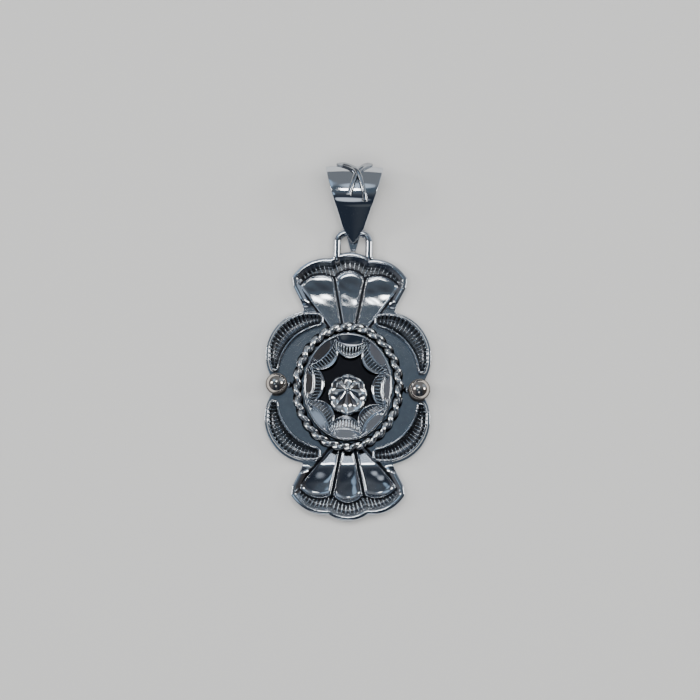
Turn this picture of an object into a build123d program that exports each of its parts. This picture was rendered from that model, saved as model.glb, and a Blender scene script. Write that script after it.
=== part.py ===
from build123d import *
from math import cos, pi, radians, sin, tan
import os

# Soldered silver pendant with a swinging bail, lying face up.
# X is its right, Y points to the bail and Z comes out of its face. All sizes are millimetres.
# The origin lies on the flat back, under the middle of the oval medallion.

# Solder: how deep a piece sinks into the one that it is soldered to
SOLDER_DEPTH = 0.2

# Base plate: four discs round the middle and a stamped fan at each end
PLATE_THICKNESS = 1.0
DISC_RADIUS = 6.5
DISC_X = 5.35
DISC_Y = 4.5

# Fan outline: a neck, a shoulder, then a side lobe, a centre lobe and a side lobe
FAN_TIP_Y = 19.45
FAN_CORNER_X = 8.3
FAN_CORNER_Y = 15.7
FAN_SHOULDER_X = 8.1
FAN_SHOULDER_Y = 14.3
FAN_SHOULDER_ROUND = 0.8
FAN_NECK_X = 6.6
FAN_NECK_Y = 11.4
LOBE_CUSP_X = 2.8
LOBE_CUSP_DEPTH = 0.9
SIDE_LOBE_BULGE = 0.9

# The lower fan is a touch smaller than the upper one and sits a touch askew
LOWER_FAN_SHARE = 0.985
LOWER_FAN_TURN = 1.0

# Fan relief: rim round the lobes, and three hollowed panels, each framed by a raised line
FAN_RIM_WIDTH = 0.45
FAN_RIM_HEIGHT = 0.6
FAN_BAND_WIDTH = 2.35
ARCH_RISE = 1.0
SIDE_ARCH_RISE = 0.85
LINE_WIDTH = 0.3
LINE_HEIGHT = 0.45
PANEL_GROOVE = 0.32
SCOOP_START_Y = 11.7
SCOOP_ANGLE = 4.5
RIB_TOP_X = 2.2
RIB_FOOT_X = 1.2
PANEL_EDGE_TOP_X = 6.9
PANEL_EDGE_TOP_Y = 14.4
PANEL_EDGE_FOOT_X = 3.9

# Crescents: each lies on a disc of the plate, inside its edge
CRESCENT_MARGIN = 0.3
CRESCENT_WIDTH = 2.95
CRESCENT_INNER_RADIUS = 7.15
CRESCENT_TURN = 48
CRESCENT_FAN_END_X = 3.6
CRESCENT_FAN_END_ROUND = 0.75
CRESCENT_BALL_END_Y = 2.0
CRESCENT_BALL_END_ROUND = 0.45
CRESCENT_FLOOR = 0.4
CRESCENT_RIM_WIDTH = 0.35
CRESCENT_RIM_HEIGHT = 1.1

# Medallion: oval bezel, facets at its rim, ribbed scallops and a star-shaped recess, turned clockwise
MEDALLION_HALF_X = 6.35
MEDALLION_HALF_Y = 7.7
MEDALLION_HEIGHT = 1.8
MEDALLION_RIM = 0.3
SCALLOP_COUNT = 8
FACET_DROP = 0.75
FACET_CUSP_SHARE = 0.97
FACET_MID_SHARE = 0.8
SCALLOP_DROP = 0.3
STAR_CUSP_SHARE = 0.76
STAR_MID_SHARE = 0.56
MEDALLION_TURN = 2.75

# Rope ring: two twisted wires round the medallion
ROPE_GAP = 0.15
ROPE_DIAMETER = 1.5
ROPE_WAIST = 0.85
ROPE_TWISTS = 14
ROPE_STEPS_PER_TWIST = 8
ROPE_SIDES_ABOVE = 4
ROPE_HEIGHT = 1.45

# Boss: a fluted flower in the recess
BOSS_DIAMETER = 5.8
BOSS_OFFSET_Y = -1.1
BOSS_PETALS = 8
BOSS_PETAL_RADIUS = 0.75
BOSS_EDGE_HEIGHT = 0.6
BOSS_MIDDLE_HEIGHT = 0.35
BOSS_EYE_RADIUS = 0.45

# Balls on the left and right edge, the left one a little higher than the right one
BALL_DIAMETER = 3.1
BALL_X = 10.2
BALL_STAGGER = 0.25

# Loop: inverted U of round wire at the top edge, a little to the right with the bail on it
LOOP_X = 0.4
LOOP_WIRE = 1.1
LOOP_LEG_X = 2.3
LOOP_CORNER = 1.3
LOOP_FOOT_OVERLAP = 0.9

# Bail: tapered strip folded to a teardrop round the loop's crossbar, its back flat on the ground.
# The front leaf ends in a round tip, short of the back leaf's tip, and solder fills the wedge there.
BAIL_THICKNESS = 0.6
BAIL_WIRE_CLEARANCE = 0.1
BAIL_HALF_ANGLE = 19
BAIL_FOLD_RADIUS = 3.35
BAIL_TIP_REACH = 2.5
BAIL_TIP_GAP = 0.25
BAIL_TIP_WIDTH = 0.9
BAIL_FOLD_WIDTH = 7.9
BAIL_FRONT_REACH = 1.45
BAIL_FRONT_ROUND = 1.3
BAIL_SOLDER_FILL = 0.5

# Crossed wires over the bail's fold: stations across it and angles round it, from straight up
CROSS_WIRE = 0.6
CROSS_SINK = 0.15
CROSS_LEFT_LOW_X = -0.75
CROSS_LEFT_LOW_ANGLE = -19
CROSS_RIGHT_LOW_X = 1.5
CROSS_RIGHT_LOW_ANGLE = -33
CROSS_MID_X = 0.4
CROSS_MID_ANGLE = 29
CROSS_HIGH_X = 2.4
CROSS_HIGH_ANGLE = 84
CROSS_BEAD_RADIUS = 0.36
CROSS_OVERPASS = 0.25

# Levels and places that follow from the sizes above
PLATE_TOP = PLATE_THICKNESS
SOLDER_LEVEL = PLATE_THICKNESS - SOLDER_DEPTH
MEDALLION_TOP = PLATE_TOP + MEDALLION_HEIGHT
CUSP_Y = FAN_TIP_Y - LOBE_CUSP_DEPTH
ARCH_Y = FAN_TIP_Y - FAN_RIM_WIDTH - FAN_BAND_WIDTH - ARCH_RISE
ROPE_CENTRE_X = MEDALLION_HALF_X + ROPE_GAP + ROPE_DIAMETER / 2
ROPE_CENTRE_Y = MEDALLION_HALF_Y + ROPE_GAP + ROPE_DIAMETER / 2
PANEL_FOOT_Y = ROPE_CENTRE_Y
ROPE_CENTRE_Z = PLATE_TOP + ROPE_HEIGHT - ROPE_DIAMETER / 2
LOOP_CROSSBAR_Y = FAN_TIP_Y + BAIL_TIP_GAP + BAIL_TIP_REACH
LOOP_Z = BAIL_THICKNESS + BAIL_WIRE_CLEARANCE + LOOP_WIRE / 2
BAIL_APEX_REACH = (LOOP_WIRE / 2 + BAIL_WIRE_CLEARANCE) / tan(radians(BAIL_HALF_ANGLE))
BAIL_INNER_RADIUS = BAIL_FOLD_RADIUS - BAIL_THICKNESS
BAIL_APEX_Y = LOOP_CROSSBAR_Y - BAIL_APEX_REACH
FOLD_Y = BAIL_APEX_Y + BAIL_INNER_RADIUS / tan(radians(BAIL_HALF_ANGLE))
FOLD_Z = BAIL_FOLD_RADIUS


def mirrored_x(shape):
    """Mirror a shape to the other side of the pendant."""
    return mirror(shape, about=Plane.YZ)


def mirrored_y(shape):
    """Mirror a shape to the other end of the pendant."""
    return mirror(shape, about=Plane.XZ)


def raised(face, bottom, top, slope=0):
    """Extrude a flat face from one level up to another."""
    return extrude(Pos(0, 0, bottom) * face, amount=top - bottom, taper=slope)


def point_beside(start, end, rise):
    """Give the point beside a chord's middle, so far to its left."""
    chord = Vector(*end) - Vector(*start)
    normal = Vector(-chord.Y, chord.X).normalized()
    middle = (Vector(*start) + Vector(*end)) * 0.5
    return middle + normal * rise


def face_within(lines):
    """Make the flat face that a closed chain of lines and arcs encloses."""
    return make_face([line.edge() for line in lines])


# Base plate

def fan_face():
    """Outline of one fan: neck, rounded shoulder, side lobe and half of the centre lobe."""
    foot = (0, DISC_Y)
    heel = (FAN_NECK_X, DISC_Y)
    neck = (FAN_NECK_X, FAN_NECK_Y)
    shoulder = (FAN_SHOULDER_X, FAN_SHOULDER_Y)
    corner = (FAN_CORNER_X, FAN_CORNER_Y)
    cusp = (LOBE_CUSP_X, CUSP_Y)
    far_cusp = (-LOBE_CUSP_X, CUSP_Y)
    right = [
        Line(foot, heel),
        Line(heel, neck),
        Line(neck, shoulder),
        Line(shoulder, corner),
        ThreePointArc(corner, point_beside(corner, cusp, -SIDE_LOBE_BULGE), cusp),
    ]
    crown = ThreePointArc(cusp, (0, FAN_TIP_Y), far_cusp)
    face = face_within(right + [mirrored_x(line) for line in right] + [crown])
    shoulders = [v for v in face.vertices() if abs(v.Y - FAN_SHOULDER_Y) < 0.01]
    return fillet(shoulders, FAN_SHOULDER_ROUND)


def panel_faces():
    """The three panels of one fan inside their frames: a centre one and two side ones."""
    aside = PANEL_GROOVE / 2 + LINE_WIDTH
    centre_top = (RIB_TOP_X - aside, ARCH_Y)
    centre_foot = (RIB_FOOT_X - aside, PANEL_FOOT_Y)
    side_top = (RIB_TOP_X + aside, ARCH_Y)
    side_foot = (RIB_FOOT_X + aside, PANEL_FOOT_Y)
    edge_top = (PANEL_EDGE_TOP_X, PANEL_EDGE_TOP_Y)
    edge_foot = (PANEL_EDGE_FOOT_X, PANEL_FOOT_Y)
    edge = Line(centre_foot, centre_top)
    far_edge = mirrored_x(edge)
    centre = face_within(
        [
            edge,
            ThreePointArc(centre_top, (0, ARCH_Y + ARCH_RISE), far_edge @ 1),
            far_edge,
            Line(centre_foot, far_edge @ 0),
        ]
    )
    side = face_within(
        [
            Line(side_foot, edge_foot),
            Line(edge_foot, edge_top),
            ThreePointArc(edge_top, point_beside(edge_top, side_top, -SIDE_ARCH_RISE), side_top),
            Line(side_top, side_foot),
        ]
    )
    return [centre, side, mirrored_x(side)]


def panel_scoop():
    """Block above the sloping floor of a fan's panels, which sinks towards the arches."""
    depth = (FAN_TIP_Y - SCOOP_START_Y) * tan(radians(SCOOP_ANGLE))
    above = PLATE_TOP + LINE_HEIGHT
    side_view = make_face(
        Polyline(
            (0, SCOOP_START_Y, PLATE_TOP),
            (0, FAN_TIP_Y, PLATE_TOP - depth),
            (0, FAN_TIP_Y, above),
            (0, SCOOP_START_Y, above),
            close=True,
        )
    )
    return extrude(side_view, amount=FAN_CORNER_X, both=True)


def fan(share):
    """One stamped fan of a given size: its sheet, its rim, and panels framed by raised lines."""
    outline = fan_face()
    inside = offset(outline, amount=-FAN_RIM_WIDTH)
    beyond_neck = Pos(0, FAN_NECK_Y) * Rectangle(
        3 * FAN_CORNER_X, FAN_TIP_Y, align=(Align.CENTER, Align.MIN)
    )
    rim = (outline - inside) & beyond_neck
    sheet = raised(scale(outline, by=share), 0, PLATE_TOP)
    relief = raised(scale(rim, by=share), SOLDER_LEVEL, PLATE_TOP + FAN_RIM_HEIGHT)
    for panel in panel_faces():
        opening = scale(panel, by=share)
        framed = offset(opening, amount=LINE_WIDTH, kind=Kind.INTERSECTION)
        relief += raised(framed - opening, SOLDER_LEVEL, PLATE_TOP + LINE_HEIGHT)
        sheet -= raised(opening, SOLDER_LEVEL - SOLDER_DEPTH, PLATE_TOP) & panel_scoop()
    return [sheet, relief]


def base_plate():
    """Flat sheet with four discs round the middle and a stamped fan at each end."""
    discs = [Pos(x, y) * Circle(DISC_RADIUS) for x in (-DISC_X, DISC_X) for y in (-DISC_Y, DISC_Y)]
    middle = Rectangle(2 * DISC_X, 2 * DISC_Y) + discs
    askew = Rot(0, 0, LOWER_FAN_TURN)
    lower_fan = [askew * mirrored_y(piece) for piece in fan(LOWER_FAN_SHARE)]
    return [raised(middle, 0, PLATE_TOP)] + fan(1) + lower_fan


# Crescents

def crescent():
    """One trough-shaped crescent with a raised rim, in the upper right quarter."""
    radius = DISC_RADIUS - CRESCENT_MARGIN
    shift = CRESCENT_INNER_RADIUS - radius + CRESCENT_WIDTH
    turn = radians(CRESCENT_TURN)
    hollow = Pos(DISC_X - shift * cos(turn), DISC_Y - shift * sin(turn)) * Circle(CRESCENT_INNER_RADIUS)
    quarter = Pos(CRESCENT_FAN_END_X, CRESCENT_BALL_END_Y) * Rectangle(
        2 * radius, 2 * radius, align=(Align.MIN, Align.MIN)
    )
    band = (Pos(DISC_X, DISC_Y) * Circle(radius) - hollow) & quarter
    fan_end = [v for v in band.vertices() if v.X < DISC_X]
    band = fillet(fan_end, CRESCENT_FAN_END_ROUND)
    ball_end = [v for v in band.vertices() if abs(v.Y - CRESCENT_BALL_END_Y) < SOLDER_DEPTH]
    band = fillet(ball_end, CRESCENT_BALL_END_ROUND)
    trough = offset(band, amount=-CRESCENT_RIM_WIDTH)
    floor = raised(band, SOLDER_LEVEL, PLATE_TOP + CRESCENT_FLOOR)
    rim = raised(band - trough, SOLDER_LEVEL, PLATE_TOP + CRESCENT_RIM_HEIGHT)
    return floor + rim


def crescents():
    """The four crescents, one in each quarter of the middle."""
    upper_right = crescent()
    upper_left = mirrored_x(upper_right)
    return [upper_right, upper_left, mirrored_y(upper_right), mirrored_y(upper_left)]


# Medallion

def scalloped_face(half_x, half_y, cusp_share, middle_share):
    """Face inside a closed row of arcs: cusps on one oval, arc middles on another."""
    step = 2 * pi / SCALLOP_COUNT

    def on_oval(turn, share):
        angle = turn * step - radians(MEDALLION_TURN)
        return (half_x * share * cos(angle), half_y * share * sin(angle))

    arcs = [
        ThreePointArc(
            on_oval(i - 0.5, cusp_share),
            on_oval(i, middle_share),
            on_oval(i + 0.5, cusp_share),
        )
        for i in range(SCALLOP_COUNT)
    ]
    return face_within(arcs)


def medallion():
    """Oval bezel, its facets and ribbed scallops sloping in to a star-shaped recess."""
    inner_x = MEDALLION_HALF_X - MEDALLION_RIM
    inner_y = MEDALLION_HALF_Y - MEDALLION_RIM
    facet_level = MEDALLION_TOP - FACET_DROP
    star_level = facet_level - SCALLOP_DROP
    rim = scalloped_face(inner_x, inner_y, 1, 1)
    facets = scalloped_face(inner_x, inner_y, FACET_CUSP_SHARE, FACET_MID_SHARE)
    star = scalloped_face(inner_x, inner_y, STAR_CUSP_SHARE, STAR_MID_SHARE)
    block = raised(Ellipse(MEDALLION_HALF_X, MEDALLION_HALF_Y), SOLDER_LEVEL, MEDALLION_TOP)
    facet_cut = loft([Pos(0, 0, MEDALLION_TOP) * rim, Pos(0, 0, facet_level) * facets], ruled=True)
    scallop_cut = loft([Pos(0, 0, facet_level) * facets, Pos(0, 0, star_level) * star], ruled=True)
    recess = raised(star, PLATE_TOP, star_level)
    return block - facet_cut - scallop_cut - recess


# Rope ring

def rope_section(turn):
    """Corners of the rope's section at one place round the ring, twisted as far as it has turned."""
    twist = ROPE_TWISTS * turn
    centre = Vector(ROPE_CENTRE_X * cos(turn), ROPE_CENTRE_Y * sin(turn), ROPE_CENTRE_Z)
    outward = Vector(ROPE_CENTRE_Y * cos(turn), ROPE_CENTRE_X * sin(turn)).normalized()
    up = Vector(0, 0, 1)
    root = SOLDER_LEVEL - ROPE_CENTRE_Z
    corners = [centre + outward * (ROPE_WAIST / 2) + up * root]
    for i in range(ROPE_SIDES_ABOVE + 1):
        lean = pi * i / ROPE_SIDES_ABOVE
        reach = ROPE_WAIST + (ROPE_DIAMETER - ROPE_WAIST) * cos(lean - twist) ** 2
        corners.append(centre + (outward * cos(lean) + up * sin(lean)) * (reach / 2))
    corners.append(centre - outward * (ROPE_WAIST / 2) + up * root)
    return corners


def rope_ring():
    """Oval ring of two twisted wires, as a faceted solid whose foot is sunk in the solder."""
    steps = ROPE_TWISTS * ROPE_STEPS_PER_TWIST
    sections = [rope_section(2 * pi * i / steps) for i in range(steps)]
    faces = []
    for i, section in enumerate(sections):
        following = sections[(i + 1) % steps]
        for j, corner in enumerate(section):
            k = (j + 1) % len(section)
            faces.append(Face(Wire.make_polygon([corner, following[j], section[k]])))
            faces.append(Face(Wire.make_polygon([following[j], following[k], section[k]])))
    return Solid(Shell(faces))


# Boss

def boss():
    """Fluted flower: petals rising from a small eye in the middle to their round tips."""
    reach = BOSS_DIAMETER / 2 - BOSS_PETAL_RADIUS
    middle_z = PLATE_TOP + BOSS_MIDDLE_HEIGHT
    edge_z = PLATE_TOP + BOSS_EDGE_HEIGHT
    middle = Vector(0, BOSS_OFFSET_Y, middle_z)
    flower = Pos(0, BOSS_OFFSET_Y, SOLDER_LEVEL) * Cylinder(
        reach, middle_z - SOLDER_LEVEL, align=(Align.CENTER, Align.CENTER, Align.MIN)
    )
    flower += Pos(*middle) * Sphere(BOSS_PETAL_RADIUS)
    for i in range(BOSS_PETALS):
        turn = 2 * pi * (i + 0.5) / BOSS_PETALS
        tip = Vector(reach * cos(turn), BOSS_OFFSET_Y + reach * sin(turn), edge_z)
        along = tip - middle
        petal = Plane(origin=middle, z_dir=along) * Cylinder(
            BOSS_PETAL_RADIUS, along.length, align=(Align.CENTER, Align.CENTER, Align.MIN)
        )
        flower += petal + Pos(*tip) * Sphere(BOSS_PETAL_RADIUS)
    flower += Pos(*(middle + Vector(0, 0, BOSS_PETAL_RADIUS))) * Sphere(BOSS_EYE_RADIUS)
    below = Pos(0, BOSS_OFFSET_Y, 0) * Cylinder(
        BOSS_DIAMETER, SOLDER_LEVEL, align=(Align.CENTER, Align.CENTER, Align.MIN)
    )
    return flower - below


# Balls and loop

def balls():
    """A solid ball on the left and the right edge, each sunk a little into the plate."""
    level = SOLDER_LEVEL + BALL_DIAMETER / 2
    left = Pos(-BALL_X, BALL_STAGGER, level) * Sphere(BALL_DIAMETER / 2)
    right = Pos(BALL_X, -BALL_STAGGER, level) * Sphere(BALL_DIAMETER / 2)
    return [left, right]


def bail_loop():
    """Inverted U of round wire, its feet soldered to the top edge of the plate."""
    foot_y = CUSP_Y - LOOP_FOOT_OVERLAP
    corners = [
        (LOOP_X - LOOP_LEG_X, foot_y, LOOP_Z),
        (LOOP_X - LOOP_LEG_X, LOOP_CROSSBAR_Y, LOOP_Z),
        (LOOP_X + LOOP_LEG_X, LOOP_CROSSBAR_Y, LOOP_Z),
        (LOOP_X + LOOP_LEG_X, foot_y, LOOP_Z),
    ]
    path = FilletPolyline(*corners, radius=LOOP_CORNER)
    section = Plane(origin=corners[0], z_dir=(0, 1, 0)) * Circle(LOOP_WIRE / 2)
    wire = sweep(section, path=path)
    feet = [Pos(*corners[i]) * Sphere(LOOP_WIRE / 2) for i in (0, -1)]
    return wire + feet


def pendant_body():
    """All the soldered pieces of the pendant, fused as solder fuses them."""
    pieces = base_plate() + crescents() + balls() + [medallion(), boss(), bail_loop()]
    body = pieces[0]
    for piece in pieces[1:]:
        body += piece
    return body + rope_ring()


# Bail

def teardrop_face(radius, tip_y):
    """Side view of one surface of the folded strip: flat back, round fold and sloping front."""
    lean = radians(2 * BAIL_HALF_ANGLE)
    front_y = FOLD_Y - radius * sin(lean)
    front_z = FOLD_Z + radius * cos(lean)
    back = (0, FOLD_Y, FOLD_Z - radius)
    back_tip = (0, tip_y, FOLD_Z - radius)
    front = (0, front_y, front_z)
    front_tip = (0, tip_y, front_z - (front_y - tip_y) * tan(lean))
    outline = [
        Line(back_tip, back),
        ThreePointArc(back, (0, FOLD_Y + radius * cos(lean / 2), FOLD_Z + radius * sin(lean / 2)), front),
        Line(front, front_tip),
    ]
    if (Vector(*front_tip) - Vector(*back_tip)).length > BAIL_THICKNESS / 2:
        outline.append(Line(front_tip, back_tip))
    return face_within(outline)


def bail_strip():
    """Strip folded round the crossbar, wide at the fold and narrow at its closed tip."""
    tip_y = LOOP_CROSSBAR_Y - BAIL_TIP_REACH
    outer = teardrop_face(BAIL_FOLD_RADIUS, tip_y)
    inner = teardrop_face(BAIL_INNER_RADIUS, BAIL_APEX_Y + BAIL_SOLDER_FILL)
    band = extrude(outer - inner, amount=BAIL_FOLD_WIDTH, both=True)
    reach = FOLD_Y + BAIL_FOLD_RADIUS - tip_y
    taper = make_face(
        Polyline(
            (-BAIL_TIP_WIDTH / 2, 0),
            (BAIL_TIP_WIDTH / 2, 0),
            (BAIL_FOLD_WIDTH / 2, reach),
            (-BAIL_FOLD_WIDTH / 2, reach),
            close=True,
        )
    )
    plan = Pos(0, tip_y, 0) * Rot(BAIL_HALF_ANGLE, 0, 0) * extrude(taper, amount=2 * reach, both=True)
    round_y = LOOP_CROSSBAR_Y - BAIL_FRONT_REACH + BAIL_FRONT_ROUND
    beyond_front = Pos(0, round_y) * Rectangle(
        BAIL_FOLD_WIDTH, 2 * BAIL_TIP_REACH, align=(Align.CENTER, Align.MAX)
    )
    beyond_front -= Pos(0, round_y) * Circle(BAIL_FRONT_ROUND)
    return (band & plan) - raised(beyond_front, BAIL_THICKNESS, 2 * BAIL_FOLD_RADIUS)


def cross_wire(low_x, low_angle, high_x, overpass):
    """One wire of the X, bent over the fold from its beaded lower end to its upper end."""
    radius = BAIL_FOLD_RADIUS + CROSS_WIRE / 2 - CROSS_SINK
    stations = [
        (low_x, low_angle, radius),
        (CROSS_MID_X, CROSS_MID_ANGLE, radius + overpass),
        (high_x, CROSS_HIGH_ANGLE, radius),
    ]
    points = [
        Vector(x, FOLD_Y + reach * sin(radians(angle)), FOLD_Z + reach * cos(radians(angle)))
        for x, angle, reach in stations
    ]
    path = ThreePointArc(*points)
    section = Plane(origin=path @ 0, z_dir=path % 0) * Circle(CROSS_WIRE / 2)
    wire = sweep(section, path=path)
    return wire + Pos(*points[0]) * Sphere(CROSS_BEAD_RADIUS) + Pos(*points[2]) * Sphere(CROSS_BEAD_RADIUS)


def bail():
    """Folded strip with the two crossed wires soldered over its fold, one over the other."""
    under = cross_wire(CROSS_LEFT_LOW_X, CROSS_LEFT_LOW_ANGLE, CROSS_HIGH_X, 0)
    over = cross_wire(CROSS_RIGHT_LOW_X, CROSS_RIGHT_LOW_ANGLE, -CROSS_HIGH_X, CROSS_OVERPASS)
    return Pos(LOOP_X, 0, 0) * (bail_strip() + under + over)


os.makedirs("parts", exist_ok=True)
export_step(pendant_body(), "parts/pendant_body.step")
export_step(bail(), "parts/bail.step")
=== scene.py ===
"""Silver pendant: stamped fans, ribbed crescents, medallion, rope ring, balls, loop and bail.

Sizes are millimetres in the same frame as the solids, and meshes are made in metres.
"""

import logging
import math
from dataclasses import dataclass, field
from enum import Enum
from functools import cache
from typing import Callable, Sequence

import bpy
import numpy as np
from mathutils import Matrix, Vector
from mathutils.geometry import delaunay_2d_cdt

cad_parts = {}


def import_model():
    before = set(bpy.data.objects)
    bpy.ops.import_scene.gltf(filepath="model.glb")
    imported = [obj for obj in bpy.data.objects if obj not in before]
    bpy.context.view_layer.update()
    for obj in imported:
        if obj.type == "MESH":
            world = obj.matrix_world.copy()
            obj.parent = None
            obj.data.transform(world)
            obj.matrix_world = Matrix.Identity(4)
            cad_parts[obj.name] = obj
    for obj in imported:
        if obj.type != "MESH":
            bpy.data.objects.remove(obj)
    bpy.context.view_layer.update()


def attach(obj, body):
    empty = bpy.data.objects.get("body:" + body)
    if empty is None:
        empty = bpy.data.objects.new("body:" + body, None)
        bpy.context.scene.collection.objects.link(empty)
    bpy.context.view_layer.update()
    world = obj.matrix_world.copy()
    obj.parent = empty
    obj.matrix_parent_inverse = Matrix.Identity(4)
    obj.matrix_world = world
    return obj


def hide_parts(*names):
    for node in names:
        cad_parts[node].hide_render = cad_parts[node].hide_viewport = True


MM = 0.001
# Attribute of how brightly a point shows: rubbed wear and oxide, and painted shade on the balls and the bail loop.
WEAR_AND_SHADE = "worn"
SWELL = "swell"

log = logging.getLogger("pendant")

Points = np.ndarray
Faces = Sequence[Sequence[int]]
Colour = tuple[float, float, float]
Test = Callable[[np.ndarray, np.ndarray], np.ndarray]
Face = Callable[[np.ndarray, np.ndarray], tuple[np.ndarray, np.ndarray]]


class Body(Enum):
    """The two moving bodies of the pendant."""

    PENDANT = "pendant_body"
    BAIL = "bail"


class Slot(Enum):
    """The record's material slots."""

    OXIDISED = "oxidised_silver"
    POLISHED = "polished_silver"


class Side(Enum):
    """Left or right of the pendant, seen from the front."""

    LEFT = -1
    RIGHT = 1


class End(Enum):
    """The pendant's upper end, at the bail, or its lower end."""

    UPPER = 1
    LOWER = -1


# Flat shapes

def smooth(low: float, high: float, value: np.ndarray) -> np.ndarray:
    """Rise smoothly from 0 at low to 1 at high."""
    share = np.clip((value - low) / (high - low), 0, 1)
    return share * share * (3 - 2 * share)


def arc_points(start: Sequence[float], middle: Sequence[float], end: Sequence[float], count: int) -> Points:
    """Points on the circular arc from one point through another to a third.

    Args:
        start: First point.
        middle: A point on the arc.
        end: Last point.
        count: Number of points, ends included.

    Returns:
        The points, one a row.
    """
    ax, ay = start
    bx, by = middle
    cx, cy = end
    turn = 2 * (ax * (by - cy) + bx * (cy - ay) + cx * (ay - by))
    a2, b2, c2 = ax * ax + ay * ay, bx * bx + by * by, cx * cx + cy * cy
    ox = (a2 * (by - cy) + b2 * (cy - ay) + c2 * (ay - by)) / turn
    oy = (a2 * (cx - bx) + b2 * (ax - cx) + c2 * (bx - ax)) / turn
    radius = math.hypot(ax - ox, ay - oy)
    first = math.atan2(ay - oy, ax - ox)
    through = math.atan2(by - oy, bx - ox)
    last = math.atan2(cy - oy, cx - ox)
    sweep = (last - first) % (2 * math.pi)
    if (through - first) % (2 * math.pi) > sweep:
        sweep -= 2 * math.pi
    angles = first + np.linspace(0, sweep, count)
    return np.column_stack([ox + radius * np.cos(angles), oy + radius * np.sin(angles)])


def beside_chord(start: Sequence[float], end: Sequence[float], rise: float) -> Points:
    """Give the point beside a chord's middle, so far to its left.

    Args:
        start: Start of the chord.
        end: End of the chord.
        rise: Distance to its left.

    Returns:
        The point.
    """
    chord = np.subtract(end, start)
    normal = np.array([-chord[1], chord[0]]) / np.hypot(*chord)
    return np.add(start, end) / 2 + normal * rise


def resample(loop: Points, spacing: float) -> Points:
    """Points at an even spacing round a closed loop.

    Args:
        loop: Corners of the loop.
        spacing: Distance between points.

    Returns:
        The points, one a row.
    """
    closed = np.vstack([loop, loop[:1]])
    along = np.concatenate([[0], np.cumsum(np.hypot(*np.diff(closed, axis=0).T))])
    stations = np.linspace(0, along[-1], max(8, round(along[-1] / spacing)), endpoint=False)
    return np.column_stack([np.interp(stations, along, closed[:, i]) for i in (0, 1)])


def signed_area(loop: Points) -> float:
    """Area of a loop, above zero where it runs anticlockwise."""
    x, y = loop.T
    return float((x * np.roll(y, -1) - np.roll(x, -1) * y).sum() / 2)


def inward(loop: Points) -> Points:
    """Unit normals of an evenly spaced loop, pointing inside it.

    Args:
        loop: The loop.

    Returns:
        One normal a point.
    """
    tangent = np.roll(loop, -1, axis=0) - np.roll(loop, 1, axis=0)
    tangent /= np.maximum(np.hypot(*tangent.T), 1e-9)[:, None]
    return np.column_stack([-tangent[:, 1], tangent[:, 0]]) * math.copysign(1, signed_area(loop))


def uneven(x: np.ndarray, y: np.ndarray, size: float, seed: int) -> np.ndarray:
    """Slight unevenness that hand work leaves in a surface.

    Args:
        x: Points' x.
        y: Points' y.
        size: Greatest height.
        seed: Number that picks the waves.

    Returns:
        Heights.
    """
    draw = np.random.default_rng(seed)
    total = np.zeros(len(x))
    for _ in range(7):
        angle, phase = draw.uniform(0, 2 * math.pi, 2)
        wave = 2 * math.pi / draw.uniform(0.9, 2.6)
        total += np.sin(wave * (x * math.cos(angle) + y * math.sin(angle)) + phase)
    return size * total / 4


def depth_inside(x: np.ndarray, y: np.ndarray, loop: Points, far: float = 1e9) -> np.ndarray:
    """Distance from points to a loop, above zero inside it.

    Args:
        x: Points' x.
        y: Points' y.
        loop: Closed loop of corners.
        far: Distance outside the loop's box beyond which only the box counts.

    Returns:
        One signed distance a point.
    """
    low, high = loop.min(0) - far, loop.max(0) + far
    near_by = (x > low[0]) & (x < high[0]) & (y > low[1]) & (y < high[1])
    if not near_by.all():
        found = np.full(len(x), -far)
        found[near_by] = depth_inside(x[near_by], y[near_by], loop)
        return found
    start, end = loop, np.roll(loop, -1, axis=0)
    step = end - start
    length2 = np.maximum((step**2).sum(1), 1e-12)
    near = np.full(len(x), np.inf)
    within = np.zeros(len(x), bool)
    for part in np.array_split(np.arange(len(x)), max(1, len(x) * len(loop) // 1_500_000)):
        px, py = x[part, None], y[part, None]
        t = np.clip(((px - start[:, 0]) * step[:, 0] + (py - start[:, 1]) * step[:, 1]) / length2, 0, 1)
        gap = np.hypot(px - start[:, 0] - t * step[:, 0], py - start[:, 1] - t * step[:, 1])
        near[part] = gap.min(1)
        across = (start[:, 1] > py) != (end[:, 1] > py)
        rise = np.where(np.abs(step[:, 1]) < 1e-12, 1e-12, step[:, 1])
        hit = px < start[:, 0] + (py - start[:, 1]) / rise * step[:, 0]
        within[part] = (across & hit).sum(1) % 2 == 1
    return np.where(within, near, -near)


def boundary_loop(faces: Sequence[Sequence[int]]) -> list[int]:
    """Order the open edges of a triangulated sheet into its longest closed loop.

    Args:
        faces: Triangles of the sheet.

    Returns:
        Its points, by their numbers.
    """
    edges: dict[tuple[int, int], int] = {}
    for face in faces:
        for a, b in zip(face, [*face[1:], face[0]]):
            edges[(a, b)] = edges.get((a, b), 0) + 1
    following = {a: b for (a, b) in edges if (b, a) not in edges}
    loops = []
    while following:
        first, at = following.popitem()
        loop = [first]
        while at != first:
            loop.append(at)
            at = following.pop(at)
        loops.append(loop)
    return max(loops, key=len)


def joined_outline(shapes: Sequence[Points]) -> Points:
    """Outline of several overlapping flat shapes, joined into one.

    Args:
        shapes: Outlines of the shapes.

    Returns:
        The outline.
    """
    loops, count = [], 0
    for shape in shapes:
        loops.append(list(range(count, count + len(shape))))
        count += len(shape)
    plan, faces = triangles(np.vstack(shapes), loops, shapes)
    return plan[boundary_loop(faces)]


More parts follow.
